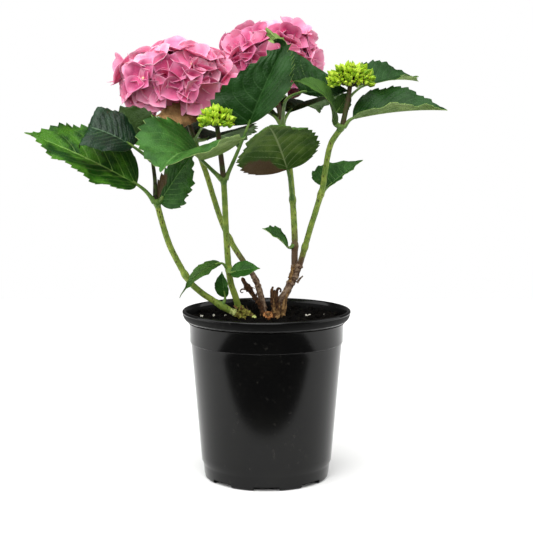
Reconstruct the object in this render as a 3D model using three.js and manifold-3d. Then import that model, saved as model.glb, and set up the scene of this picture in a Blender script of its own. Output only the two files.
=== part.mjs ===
// A young mophead hydrangea in its black nursery pot, in millimetres, +Z up.
// The origin is the middle of the pot's flat underside. +X is to the right of the front view, +Y to the back.
import * as THREE from 'three';
import { mergeVertices } from 'three/addons/utils/BufferGeometryUtils.js';
import Module from 'manifold-3d';

const wasm = await Module();
wasm.setup();

// ---------------------------------------------------------------- driving dimensions

const GAP = 0.3; // clearance between neighbouring pieces

const POT = {
  height: 169,
  rimRadius: 84,
  rimReach: 7.6, // how far the rolled rim stands out from the wall under it
  rimDepth: 11,
  footRadius: 62.5,
  footHeight: 16,
  footStep: 2.6, // how far the wall stands out over the foot
  ledgeHeight: 137, // step in the wall that nested pots rest on
  ledge: 1,
  rounding: 2.5,
  wall: 1.6,
  floor: 2.6,
  segments: 36,
  slots: 8, // drainage slots round the foot
  slotWidth: 25,
  slotHeight: 4,
  slotDepth: 9,
};

const SOIL = { top: 160, edge: 3, segments: 18 }; // edge: how far the mix rounds off beside the wall
const GROUND = { width: 400, depth: 100 }; // block that trims whatever dips into the mix
const TOLERANCE = 0.1; // faces flatter than this are merged

const BLADE = {
  station: 13, // spacing of the rows from leaf base to tip
  columns: [-1, -0.5, 0, 0.5, 1], // across the blade, midrib in the middle
  thickness: 1.5,
  fewest: 5, // rows on the smallest leaf
  roundness: 0.55, // how full the blade is at its base
  taper: 0.85, // how it narrows to the tip
  tooth: 0.05, // depth of the teeth as a share of the half width
  baseWidth: 3,
  point: 0.6, // width of the very tip, as a share
};

const PETIOLE = {
  radius: 1.1,
  swell: 0.01, // extra radius as a share of the leaf's width
  taper: 0.8,
  foot: 0.75, // how far out in its node it starts, as a share of the node's radius
  bend: 0.4, // length over which it turns into the blade, as a share of its reach
  sides: 6,
  steps: 4,
  sunk: 3, // length inside the blade
};
const STEM = { sides: 8, step: 15 };
const TWIG_STEP = 12;
const PEDUNCLE = { taper: 0.85, bow: 2 };
const COLLAR = { length: 5, swell: 0.8, wall: 1.9, sides: 6 }; // the swollen node that leaves grow from
const LINE_SAMPLES = 400; // points along a centre line, for finding the one at a given height

const FLORET = {
  count: 22,
  radius: 18, // centre to a sepal's broad end
  spread: 24, // degrees from the sepal's middle to its corners
  notch: 0.5, // where neighbouring sepals part, as a share of that radius
  levels: [0, 3, 6], // florets that are neighbours stand at different heights
  thickness: 1.5,
  pedicel: [1.3, 1.1], // radii of its stalk
  rooted: 0.5, // where that stalk starts, as a share of the way out
  spare: 7, // room kept free outside the outermost florets
  lowest: 128, // degrees from the top of the head to its lowest florets
  core: 0.8, // the branched middle of the head, as a share of its size
};

const BUD = { count: 22, radius: 4.6, slim: 0.8, long: 1.25, spare: 7.4, lowest: 100, core: 0.8 };
const UNEVENNESS = 0.06; // radians that a flower may stand off its even place

// ---------------------------------------------------------------- stems: centre lines and radii

const STEMS = {
  stem_left: {
    points: [
      [-37, -6, 169],
      [-54, -10, 180],
      [-66, -13, 189],
      [-77, -17, 201],
      [-90, -24, 226],
      [-96, -28, 241],
      [-101, -32, 259],
      [-105, -36, 276],
    ],
    radii: [3.2, 2.9],
  },
  stem_front: {
    points: [
      [-28, -5, 172],
      [-31, -11, 184],
      [-35, -16, 197],
      [-37, -22, 213],
      [-39, -31, 246],
      [-40, -35, 276],
      [-41, -38, 298],
    ],
    radii: [3.3, 2.8],
  },
  stem_back: {
    points: [
      [-22, 11, 214],
      [-35, 15, 234],
      [-45, 18, 255],
      [-53, 20, 279],
      [-60, 21, 302],
      [-66, 21, 319],
      [-71, 19, 334],
    ],
    radii: [2.9, 2.7],
  },
  stem_middle: {
    points: [
      [28, 3, 214],
      [28, 5, 243],
      [26, 9, 278],
      [24, 14, 302],
      [21, 20, 327],
      [16, 26, 351],
    ],
    radii: [3.3, 2.7],
  },
  stem_right: {
    points: [
      [34, -2, 217],
      [38, -6, 232],
      [44, -10, 254],
      [48, -12, 267],
      [55, -15, 292],
      [57, -17, 307],
      [62, -21, 333],
      [71, -24, 348],
    ],
    radii: [2.9, 2.7],
  },
};

// The woody crowns on the soil: short old trunks, broken stubs and the knobs that join them.
const CROWNS = {
  crown: [
    { points: [[15, 1, 150], [19, 2, 173], [25, 2, 193], [28, 3, 214]], radii: [6, 3.3] },
    { points: [[26, 2, 196], [31, 0, 207], [34, -2, 217]], radii: [4, 2.9] },
    { points: [[-1, 2, 150], [-3, 4, 173], [-10, 8, 197], [-22, 11, 214]], radii: [4, 2.9] },
    { points: [[-2, 4, 162], [-9, 2, 178], [-23, 0, 198]], radii: [3, 1.9] },
    { points: [[3, -2, 152], [8, -3, 176], [8, -3, 189]], radii: [3.4, 2.4] },
    { points: [[5, 4, 155], [1, -4, 164], [0, -7, 167]], radii: [5.5, 4.6] },
    { points: [[17, 1, 160], [-4, 3, 160]], radii: [6.5, 5.5] },
  ],
  crown_left: [
    { points: [[-8, -2, 154], [-15, -3, 160], [-26, -4, 164], [-37, -6, 169]], radii: [4.2, 3.2] },
    { points: [[-18, -2, 160], [-28, -5, 172]], radii: [3.8, 3.3] },
    { points: [[-12, -2, 158], [-12, -9, 162]], radii: [2.6, 2.2] },
  ],
};

// ---------------------------------------------------------------- foliage
// Each leaf lies along the arc from base to tip. arch bends it down along its length, fold lifts both
// halves into a V, curl turns their margins down again, and roll turns it about its own line.
// Leaves stand on the node at their stem's end, or on the one at the given height above the floor.

const FOLIAGE = {
  leaves_left: {
    stem: 'stem_left',
    twig: { points: [[-107, -37, 285], [-107, -38, 300], [-109, -40, 319]], radii: [2.6, 2.2] },
    leaves: [
      { base: [-125, -40, 296], tip: [-228, -56, 346], width: 94, arch: 3, fold: 12, roll: -29 },
      { base: [-99, -37, 280], tip: [-68, -20, 327], width: 46, arch: 8, fold: 8, roll: 36 },
      {
        from: 1, // stands on the twig's end, where the others stand on the stem's node
        base: [-127, -52, 336],
        tip: [-171, -66, 356],
        width: 58,
        arch: 30,
        fold: 4,
        roll: -42,
        curl: 20,
      },
      { from: 1, base: [-118, -36, 338], tip: [-138, -30, 372], width: 50, arch: 12, fold: 8, roll: -78 },
      { from: 1, base: [-116, -14, 332], tip: [-164, 54, 336], width: 60, arch: 20, fold: 14, roll: 0 },
    ],
  },
  leaves_front: {
    stem: 'stem_front',
    leaves: [
      { base: [-63, -47, 321], tip: [-95, -125, 312], width: 100, arch: 30, fold: 22, roll: -6 },
      { base: [-17, -42, 353], tip: [18, -38, 430], width: 96, arch: 10, fold: 21, roll: 31 },
    ],
  },
  leaves_back: {
    stem: 'stem_back',
    leaves: [
      { base: [-88, 38, 342], tip: [-126, 122, 340], width: 80, arch: 22, fold: 14, roll: 0 },
      { base: [-60, 36, 338], tip: [-30, 124, 326], width: 76, arch: 22, fold: 14, roll: 0 },
      { base: [-72, -14, 351], tip: [-101, -46, 357], width: 28, arch: 8, fold: 12, roll: -34 },
    ],
  },
  leaves_middle: {
    stem: 'stem_middle',
    leaves: [
      { base: [66, -14, 380], tip: [19, -8, 426], width: 80, arch: 8, fold: -36, roll: -30 },
      { base: [8, 30, 360], tip: [-24, 46, 372], width: 46, arch: 12, fold: 10, roll: 10 },
      { base: [24, 48, 358], tip: [58, 142, 356], width: 84, arch: 22, fold: 14, roll: 0 },
    ],
  },
  leaves_right: {
    stem: 'stem_right',
    leaves: [
      { base: [64, -36, 355], tip: [24, -60, 394], width: 34, arch: 40, fold: 14, roll: -43 },
      { base: [86, -25, 360], tip: [174, -27, 367], width: 66, arch: 8, fold: 32, roll: 15 },
      { base: [94, 4, 390], tip: [154, 44, 396], width: 58, arch: 14, fold: 24, roll: 18 },
    ],
  },
  leaf_middle: {
    stem: 'stem_middle',
    height: 278,
    leaves: [
      { base: [20, -12, 311], tip: [1, -106, 348], width: 86, arch: 25, fold: -8, roll: 0, curl: 36 },
    ],
  },
  leaf_middle_low: {
    stem: 'stem_middle',
    height: 232,
    leaves: [{ base: [22, -4, 233], tip: [-3, -20, 252], width: 28, arch: 10, fold: 10, roll: -35 }],
  },
  leaf_right_low: {
    stem: 'stem_right',
    height: 285,
    leaves: [{ base: [61, -4, 292], tip: [95, -2, 318], width: 46, arch: 6, fold: 26, roll: 43 }],
  },
  leaves_front_low: {
    stem: 'stem_front',
    height: 212,
    leaves: [
      { base: [-47, -31, 221], tip: [-83, -48, 186], width: 24, arch: 27, fold: 16, roll: -12 },
      { base: [-34, -32, 209], tip: [-6, -40, 215], width: 24, arch: 12, fold: 12, roll: 46 },
    ],
  },
  leaf_left_low: {
    stem: 'stem_left',
    height: 174,
    leaves: [{ base: [-40, -8, 205], tip: [-49, -14, 184], width: 16, arch: 20, fold: 10, roll: 0 }],
  },
};

// ---------------------------------------------------------------- flower heads

const HEADS = {
  bloom_left: { stem: 'stem_back', centre: [-93, 0, 394], size: [48, 46, 36], seed: 11 },
  bloom_right: { stem: 'stem_middle', centre: [4, 50, 420], size: [46, 44, 34], seed: 29 },
};

const BUDS = {
  bud_front: { stem: 'stem_front', centre: [-47, -58, 357], size: [15, 14, 10], seed: 5 },
  bud_right: { stem: 'stem_right', centre: [81, -24, 396], size: [20, 16, 12], seed: 8 },
};

// ---------------------------------------------------------------- materials

const finish = (color, roughness) => new THREE.MeshStandardMaterial({ color, roughness, metalness: 0 });
const PLASTIC = finish(0x141513, 0.42);
const PEAT = finish(0x1d1611, 0.95);
const BARK = finish(0x4f3926, 0.9);
const SHOOT = finish(0x6f8f3f, 0.6);
const LEAF = finish(0x2c6427, 0.5);
const PINK = finish(0xe07ba6, 0.6);
const LIME = finish(0xa9c526, 0.6);

// ---------------------------------------------------------------- helpers

const degrees = THREE.MathUtils.degToRad;
const vector = (p) => new THREE.Vector3(...p);
const lerp = THREE.MathUtils.lerp;

/** A repeatable stream of numbers from 0 to 1. */
function dice(seed) {
  let state = seed >>> 0;
  return () => {
    state = (Math.imul(state, 1664525) + 1013904223) >>> 0;
    return state / 4294967296;
  };
}

/** A closed BufferGeometry as a solid that can be joined and cut. */
function solid(geometry) {
  geometry.deleteAttribute('normal');
  geometry.deleteAttribute('uv');
  const merged = mergeVertices(geometry, 1e-4);
  const corners = merged.index.array;
  const kept = [];
  for (let i = 0; i < corners.length; i += 3) {
    const [a, b, c] = [corners[i], corners[i + 1], corners[i + 2]];
    if (a !== b && b !== c && a !== c) kept.push(a, b, c);
  }
  const vertProperties = merged.attributes.position.array;
  return new wasm.Manifold(new wasm.Mesh({ numProp: 3, vertProperties, triVerts: new Uint32Array(kept) }));
}

/** Skins rings of equally many points, listed anticlockwise seen from the last ring, and closes both ends. */
function loft(rings) {
  const n = rings[0].length;
  const last = (rings.length - 1) * n;
  const points = rings.flat();
  const faces = [];
  for (let k = 0; k < last; k += n) {
    for (let i = 0; i < n; i++) {
      const j = (i + 1) % n;
      faces.push(k + i, k + j, k + j + n, k + i, k + j + n, k + i + n);
    }
  }
  for (const ring of [rings[0], rings.at(-1)]) {
    const middle = new THREE.Vector3();
    for (const p of ring) middle.addScaledVector(p, 1 / n);
    points.push(middle);
  }
  for (let i = 0; i < n; i++) {
    const j = (i + 1) % n;
    faces.push(points.length - 2, j, i, points.length - 1, last + i, last + j);
  }
  const positions = points.flatMap((p) => p.toArray());
  const geometry = new THREE.BufferGeometry();
  geometry.setAttribute('position', new THREE.Float32BufferAttribute(positions, 3));
  geometry.setIndex(faces);
  return solid(geometry);
}

/** A stem's smooth centre line. */
const lineOf = (stem) => new THREE.CatmullRomCurve3(stem.points.map(vector), false, 'catmullrom');

/** One tapering limb along a smooth curve, with flat cut ends. It can be grown all round, ends included. */
function limb({ points, radii }, { sides = STEM.sides, step = STEM.step, grow = 0 } = {}) {
  const line = lineOf({ points });
  const steps = Math.max(1, Math.round(line.getLength() / step));
  const { normals, binormals, tangents } = line.computeFrenetFrames(steps, false);
  const rings = normals.map((normal, k) => {
    const radius = lerp(radii[0], radii[1], k / steps) + grow / Math.cos(Math.PI / sides);
    const centre = line.getPointAt(k / steps);
    if (k === 0) centre.addScaledVector(tangents[k], -grow);
    if (k === steps) centre.addScaledVector(tangents[k], grow);
    return Array.from({ length: sides }, (_, i) => {
      const turn = (2 * Math.PI * i) / sides;
      return centre
        .clone()
        .addScaledVector(normal, radius * Math.cos(turn))
        .addScaledVector(binormals[k], radius * Math.sin(turn));
    });
  });
  return loft(rings);
}

/** Half the blade's width at t, from 0 at the leaf base to 1 at its tip. */
function halfWidth(t, width) {
  const fullest = BLADE.roundness / (BLADE.roundness + BLADE.taper);
  const shape = (x) => x ** BLADE.roundness * (1 - x) ** BLADE.taper;
  return Math.max((width / 2) * (shape(t) / shape(fullest)), BLADE.baseWidth / 2);
}

/** The directions that a leaf lies in: along its chord, to its side, and out of its upper face. */
function leafAxes({ base, tip, roll }) {
  const along = vector(tip).sub(vector(base)).normalize();
  const level = along.clone().cross(new THREE.Vector3(0, 0, 1)).normalize();
  const side = level.clone().applyAxisAngle(along, degrees(roll));
  const up = side.clone().cross(along);
  return { along, side, up };
}

/** The direction in which a leaf leaves its petiole. */
function startOf(leaf) {
  const { along, up } = leafAxes(leaf);
  const rise = degrees(leaf.arch);
  return along.multiplyScalar(Math.cos(rise)).addScaledVector(up, Math.sin(rise));
}

/** One leaf blade: an arched, folded and curled plate with a toothed outline. */
function blade(leaf) {
  const { base, tip, width, arch, fold, curl = 0 } = leaf;
  const { along, side, up } = leafAxes(leaf);
  const chord = vector(base).distanceTo(vector(tip));
  const bend = degrees(arch);
  const bendRadius = chord / (2 * Math.sin(bend));
  const stations = Math.max(BLADE.fewest, Math.round(chord / BLADE.station));
  const rings = [];
  for (let k = 0; k <= stations; k++) {
    const t = k / stations;
    const turn = (2 * t - 1) * bend;
    const centre = vector(base)
      .addScaledVector(along, bendRadius * (Math.sin(bend) + Math.sin(turn)))
      .addScaledVector(up, bendRadius * (Math.cos(turn) - Math.cos(bend)));
    const forward = along.clone().multiplyScalar(Math.cos(turn)).addScaledVector(up, -Math.sin(turn));
    const normal = side.clone().cross(forward);
    const toothed = 1 + BLADE.tooth * (k % 2 ? 1 : -1);
    const half = Math.max(halfWidth(t, width) * toothed, BLADE.baseWidth / 2);
    const thin = k === stations ? BLADE.point : 1;
    const point = (s, face) => {
      const lift = degrees(fold - (curl * Math.abs(s)) / 2);
      const reach = half * Math.abs(s) * thin;
      const outward = s === 0 ? 0 : Math.sign(s) * Math.sin(lift);
      return centre
        .clone()
        .addScaledVector(side, Math.sign(s) * reach * Math.cos(lift))
        .addScaledVector(normal, reach * Math.sin(lift))
        .addScaledVector(normal, (face * BLADE.thickness * Math.cos(lift)) / 2)
        .addScaledVector(side, (-face * outward * BLADE.thickness) / 2);
    };
    const upper = BLADE.columns.map((s) => point(s, 1));
    const lower = BLADE.columns.map((s) => point(s, -1)).reverse();
    rings.push([...lower, ...upper]);
  }
  return loft(rings);
}

/** A petiole from the side of its node to a leaf's base, bending into the blade. */
function petiole(node, leaf) {
  const start = startOf(leaf);
  const base = vector(leaf.base);
  const outward = base.clone().sub(node.middle).setZ(0).setLength(node.radius * PETIOLE.foot);
  const foot = node.middle.clone().add(outward);
  const reach = foot.distanceTo(base);
  const control = base.clone().addScaledVector(start, -reach * PETIOLE.bend);
  const middle = foot.clone().multiplyScalar(0.25).addScaledVector(control, 0.5).addScaledVector(base, 0.25);
  const end = base.clone().addScaledVector(start, PETIOLE.sunk);
  const radius = PETIOLE.radius + PETIOLE.swell * leaf.width;
  const points = [foot, middle, end].map((p) => p.toArray());
  const radii = [radius, radius * PETIOLE.taper];
  return limb({ points, radii }, { sides: PETIOLE.sides, step: reach / PETIOLE.steps });
}

/** The main piece of a solid, without any loose scrap. */
const largest = (body) => body.decompose().sort((a, b) => b.volume() - a.volume())[0];

/** All of these solids in one. */
const joined = (solids) => largest(wasm.Manifold.union(solids).simplify(TOLERANCE));

/** A solid with the space of these limbs, the clearance round them and any other spaces cut out of it. */
function clearOf(body, limbs, spaces = []) {
  const taken = [...limbs.map((one) => limb(one, { grow: GAP })), ...spaces];
  return largest(taken.reduce((rest, one) => rest.subtract(one), body));
}

/** The part of a solid that stands above the soil. */
function aboveSoil(body) {
  const { width, depth } = GROUND;
  const ground = new THREE.BoxGeometry(width, width, depth).translate(0, 0, SOIL.top + GAP - depth / 2);
  return largest(body.subtract(solid(ground)));
}

/** The swollen node on a stem's end, or the ring round the stem at the given height. */
function collar(stem, height) {
  const line = lineOf(stem);
  if (height === undefined) {
    const foot = line.getPointAt(1).addScaledVector(line.getTangentAt(1), GAP);
    const top = foot.clone().addScaledVector(line.getTangentAt(1), COLLAR.length);
    const radius = stem.radii[1] + COLLAR.swell;
    return { points: [foot.toArray(), top.toArray()], radii: [radius, radius] };
  }
  const at = line.getSpacedPoints(LINE_SAMPLES).findIndex((p) => p.z >= height) / LINE_SAMPLES;
  const middle = line.getPointAt(at);
  const half = line.getTangentAt(at).multiplyScalar(COLLAR.length / 2);
  const radius = lerp(stem.radii[0], stem.radii[1], at) + GAP + COLLAR.wall;
  const ends = [middle.clone().sub(half), middle.clone().add(half)];
  return { points: ends.map((p) => p.toArray()), radii: [radius, radius] };
}

/** Points on a dome from its top down, turned by the golden angle, with a little unevenness. */
function spread({ size, seed }, { count, lowest, levels = [0] }) {
  const next = dice(seed);
  const top = 1 - Math.cos(degrees(lowest));
  return Array.from({ length: count }, (_, i) => {
    const polar = Math.acos(1 - (top * (i + 0.5)) / count) + (next() - 0.5) * UNEVENNESS;
    const turn = i * Math.PI * (3 - Math.sqrt(5)) + (next() - 0.5) * UNEVENNESS;
    const out = new THREE.Vector3(
      Math.sin(polar) * Math.cos(turn),
      Math.sin(polar) * Math.sin(turn),
      Math.cos(polar),
    );
    const place = out.clone().multiply(vector(size));
    const facing = out.divide(vector(size)).normalize();
    place.addScaledVector(facing, levels[i % levels.length]);
    return { place, facing, spin: next() * 2 * Math.PI };
  });
}

// ---------------------------------------------------------------- pot and soil

/** Outer radius of the slanting wall at a height between the foot and the ledge. */
function slant(z) {
  const { footRadius, footStep, footHeight, rimRadius, rimReach, ledge, ledgeHeight } = POT;
  const share = (z - footHeight) / (ledgeHeight - footHeight);
  return lerp(footRadius + footStep, rimRadius - rimReach - ledge, share);
}

/** The pot: stepped wall, rolled rim and a foot with drainage slots. */
function pot() {
  const { height, rimRadius, rimReach, rimDepth, footRadius, footHeight, rounding, floor } = POT;
  const { ledge, ledgeHeight, wall } = POT;
  const neck = rimRadius - rimReach;
  const outer = [
    [0, 0],
    [footRadius - rounding, 0],
    [footRadius, rounding],
    [footRadius + ledge, footHeight - wall * 2],
    [slant(footHeight), footHeight],
    [slant(ledgeHeight - ledge), ledgeHeight - ledge],
    [neck, ledgeHeight],
    [neck + ledge, height - rimDepth],
    [neck + rimReach / 2, height - rimDepth + wall],
    [rimRadius, height - rounding],
    [rimRadius - ledge, height - ledge / 2],
    [rimRadius - rounding, height],
    [rimRadius - rounding - wall, height - wall],
  ];
  const inner = [
    [neck + ledge - wall, height - rimDepth],
    [neck - wall, ledgeHeight],
    [slant(ledgeHeight - wall * 2) - wall, ledgeHeight - wall * 2],
    [slant(footHeight) - wall, footHeight],
    [footRadius - wall, floor],
    [0, floor],
  ];
  const profile = [...outer, ...inner].map(([r, z]) => new THREE.Vector2(r, z));
  let body = solid(new THREE.LatheGeometry(profile, POT.segments).rotateX(Math.PI / 2));
  for (let i = 0; i < POT.slots; i++) {
    const slot = new THREE.BoxGeometry(POT.slotWidth, POT.slotDepth * 2, POT.slotHeight * 2)
      .translate(0, -footRadius, 0)
      .rotateZ((2 * Math.PI * i) / POT.slots);
    body = body.subtract(solid(slot));
  }
  return body;
}

/** The potting mix, filling the pot to just below its rim. */
function soil() {
  const { rimRadius, rimReach, footRadius, footHeight, ledge, ledgeHeight, wall, floor } = POT;
  const inset = wall + GAP * 2;
  const neck = rimRadius - rimReach - inset;
  const bottom = POT.slotHeight + ledge;
  const profile = [
    [0, floor + GAP],
    [footRadius - POT.slotDepth - ledge, floor + GAP],
    [footRadius - POT.slotDepth - ledge, bottom],
    [footRadius - inset - ledge, bottom],
    [slant(footHeight) - inset - GAP, footHeight],
    [slant(ledgeHeight - wall * 2) - inset, ledgeHeight - wall * 2],
    [neck, ledgeHeight + GAP],
    [neck, SOIL.top - SOIL.edge],
    [neck - SOIL.edge, SOIL.top],
    [0, SOIL.top],
  ].map(([r, z]) => new THREE.Vector2(r, z));
  return solid(new THREE.LatheGeometry(profile, SOIL.segments).rotateX(Math.PI / 2));
}

// ---------------------------------------------------------------- plant

/** The leaves of one node, with the twig above it if it has one and the leaves on that. */
function foliage({ stem, height, twig, leaves }) {
  const ring = collar(STEMS[stem], height);
  const middle = vector(ring.points[0]).lerp(vector(ring.points[1]), 0.5);
  const nodes = [{ middle, radius: ring.radii[0] }];
  const parts = [limb(ring, { sides: COLLAR.sides })];
  if (twig) {
    parts.push(limb({ ...twig, points: [middle.toArray(), ...twig.points] }, { step: TWIG_STEP }));
    nodes.push({ middle: vector(twig.points.at(-1)), radius: twig.radii[1] });
  }
  for (const leaf of leaves) parts.push(petiole(nodes[leaf.from ?? 0], leaf), blade(leaf));
  return joined(parts);
}

/** One flower of four broad sepals, facing out of the head, on its pedicel. */
function floret({ place, facing, spin }, centre) {
  const turn = new THREE.Quaternion().setFromUnitVectors(new THREE.Vector3(0, 0, 1), facing);
  const at = (angle, reach, height) =>
    new THREE.Vector3(reach * Math.cos(angle), reach * Math.sin(angle), height)
      .applyQuaternion(turn)
      .add(place)
      .add(centre);
  const half = degrees(FLORET.spread);
  const outline = [0, 1, 2, 3].flatMap((sepal) => {
    const middle = spin + (sepal * Math.PI) / 2;
    return [
      [middle - half, FLORET.radius],
      [middle + half, FLORET.radius],
      [middle + Math.PI / 4, FLORET.notch * FLORET.radius],
    ];
  });
  const rings = [-0.5, 0.5].map((face) => outline.map(([a, reach]) => at(a, reach, face * FLORET.thickness)));
  const foot = centre.clone().addScaledVector(place, FLORET.rooted);
  const pedicel = { points: [foot, at(0, 0, 0)].map((p) => p.toArray()), radii: FLORET.pedicel };
  return [loft(rings), limb(pedicel, { sides: 3, step: foot.distanceTo(centre) })];
}

/** The domed middle of a head, where its branches crowd together. */
function core({ size }, centre, share) {
  const dome = new THREE.SphereGeometry(1, 10, 6).rotateX(Math.PI / 2);
  dome.scale(...size.map((r) => r * share)).translate(...centre.toArray());
  return solid(dome);
}

/** The space that a head and its outermost flowers take up. */
function headroom({ centre, size }, spare) {
  const dome = new THREE.SphereGeometry(1, 16, 12).rotateX(Math.PI / 2);
  return solid(dome.scale(...size.map((r) => r + spare)).translate(...centre));
}

/** The stalk that carries a head, from the leaf node below it. */
function peduncle(stem, centre) {
  const along = lineOf(STEMS[stem]).getTangentAt(1);
  const foot = vector(collar(STEMS[stem]).points[1]).addScaledVector(along, GAP);
  const bend = foot.clone().lerp(centre, 0.5).addScaledVector(along, PEDUNCLE.bow);
  const radius = STEMS[stem].radii[1];
  return { points: [foot, bend, centre].map((p) => p.toArray()), radii: [radius, radius * PEDUNCLE.taper] };
}

/** An open mophead: peduncle, crowded middle and florets all over its dome. */
function mophead(head) {
  const centre = vector(head.centre);
  const florets = spread(head, FLORET);
  const parts = florets.flatMap((one) => floret(one, centre));
  return joined([limb(peduncle(head.stem, centre)), core(head, centre, FLORET.core), ...parts]);
}

/** A green head of unopened flowers. */
function budHead(head) {
  const centre = vector(head.centre);
  const parts = spread(head, BUD).map(({ place, facing, spin }) => {
    const bud = new THREE.OctahedronGeometry(BUD.radius);
    bud.rotateZ(spin).scale(BUD.slim, BUD.slim, BUD.long);
    bud.applyQuaternion(new THREE.Quaternion().setFromUnitVectors(new THREE.Vector3(0, 0, 1), facing));
    return solid(bud.translate(...place.add(centre).toArray()));
  });
  return joined([limb(peduncle(head.stem, centre)), core(head, centre, BUD.core), ...parts]);
}

// ---------------------------------------------------------------- assembly

const plant = new THREE.Group();

/** Adds one named piece to the plant. */
function piece(name, body, material) {
  const { vertProperties, triVerts } = body.getMesh();
  const geometry = new THREE.BufferGeometry();
  geometry.setAttribute('position', new THREE.BufferAttribute(vertProperties, 3));
  geometry.setIndex(new THREE.BufferAttribute(triVerts, 1));
  geometry.computeVertexNormals();
  const mesh = new THREE.Mesh(geometry, material);
  mesh.name = name;
  plant.add(mesh);
}

const heads = [...Object.values(HEADS), ...Object.values(BUDS)];
const limbs = [...Object.values(STEMS), ...heads.map(({ stem, centre }) => peduncle(stem, vector(centre)))];
const rooms = [
  ...Object.values(HEADS).map((head) => headroom(head, FLORET.levels.at(-1) + FLORET.spare)),
  ...Object.values(BUDS).map((head) => headroom(head, BUD.spare)),
];

piece('pot', pot(), PLASTIC);
piece('soil', soil(), PEAT);
for (const [name, parts] of Object.entries(CROWNS)) {
  piece(name, clearOf(aboveSoil(joined(parts.map((one) => limb(one)))), limbs), BARK);
}
for (const [name, stem] of Object.entries(STEMS)) piece(name, aboveSoil(limb(stem)), SHOOT);
for (const [name, mass] of Object.entries(FOLIAGE)) piece(name, clearOf(foliage(mass), limbs, rooms), LEAF);
for (const [name, head] of Object.entries(HEADS)) piece(name, mophead(head), PINK);
for (const [name, head] of Object.entries(BUDS)) piece(name, budHead(head), LIME);

export default plant;
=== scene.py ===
"""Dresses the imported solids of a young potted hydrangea.

Sizes are in millimetres and degrees, in the frame of the solids, and each mesh is made in metres.
"""

import logging
import math
from collections.abc import Sequence
from dataclasses import dataclass, field
from enum import Enum

import bpy
import numpy as np
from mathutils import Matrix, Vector, noise


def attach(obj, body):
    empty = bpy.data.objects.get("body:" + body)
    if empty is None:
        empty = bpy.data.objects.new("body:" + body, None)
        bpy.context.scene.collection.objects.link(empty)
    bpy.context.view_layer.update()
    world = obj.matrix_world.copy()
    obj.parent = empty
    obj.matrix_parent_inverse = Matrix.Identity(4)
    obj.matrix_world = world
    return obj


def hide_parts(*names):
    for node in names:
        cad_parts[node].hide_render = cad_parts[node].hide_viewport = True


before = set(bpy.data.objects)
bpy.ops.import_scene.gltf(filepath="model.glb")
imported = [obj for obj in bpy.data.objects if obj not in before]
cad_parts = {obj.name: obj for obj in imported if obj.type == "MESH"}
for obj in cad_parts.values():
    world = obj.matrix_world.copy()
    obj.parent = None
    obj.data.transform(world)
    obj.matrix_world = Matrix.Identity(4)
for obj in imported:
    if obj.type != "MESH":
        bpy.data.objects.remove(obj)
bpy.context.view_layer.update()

MM = 0.001
BODY = "root"
UP = np.array([0.0, 0.0, 1.0])
LEVEL = np.array([1.0, 1.0, 0.0])  # times this, a vector loses its height
ASKEW = np.array([0.31, 0.87, 0.38])  # no limb sets out along this direction
GOLDEN_ANGLE = math.pi * (3 - math.sqrt(5))
CURVE_STEPS = 24  # how finely each piece of a curve is worked out
TUBE_SIDES = 10  # sides of a limb whose radii don't say how many it has

Point = tuple[float, float, float]
Faces = list[tuple[int, ...]]
Array = np.ndarray
Material = bpy.types.Material
Piece = bpy.types.Object
Tree = bpy.types.NodeTree
Socket = bpy.types.NodeSocket

log = logging.getLogger("hydrangea")


# ---------------------------------------------------------------- numbers and curves


class Dice:
    """A repeatable stream of numbers."""

    def __init__(self, seed: int) -> None:
        """Starts the stream: the same seed gives the same stream."""
        self.state = np.random.RandomState(seed)

    def between(self, low: float, high: float) -> float:
        """One number from low to high."""
        return float(self.state.uniform(low, high))

    def direction(self) -> Array:
        """One unit vector, with every direction as likely."""
        vector = self.state.normal(size=3)
        return vector / np.linalg.norm(vector)


def unit(vector: Array) -> Array:
    """The vector, or each row of vectors, at length one."""
    return vector / np.linalg.norm(vector, axis=-1, keepdims=True)


def turned(vectors: Array, axis: Array, degrees: float) -> Array:
    """Turns vectors about an axis by the right-hand rule.

    Args:
        vectors: One vector, or one in each row.
        axis: Unit vector to turn about.
        degrees: How far to turn.

    Returns:
        The turned vectors.
    """
    angle = np.radians(degrees)
    along = np.asarray(vectors @ axis)[..., None] * axis
    across = vectors - along
    return along + across * np.cos(angle) + np.cross(axis, vectors) * np.sin(angle)


def smooth(low: float, high: float, value: float | Array) -> Array:
    """A soft step from 0 at low to 1 at high."""
    share = np.clip((np.asarray(value, float) - low) / (high - low), 0, 1)
    return share * share * (3 - 2 * share)


def blend(ends: tuple[float, float], share: float | Array) -> float | Array:
    """The number that lies at a share of the way from the first end to the last."""
    return ends[0] + (ends[1] - ends[0]) * share


def hump(away: Array, reach: float) -> Array:
    """A round hump of height 1 that falls off over about one reach."""
    return np.exp(-((away / reach) ** 2))


def circle(sides: int) -> Array:
    """The angles of points spaced evenly round a circle."""
    return np.linspace(0, 2 * math.pi, sides, endpoint=False)


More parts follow.
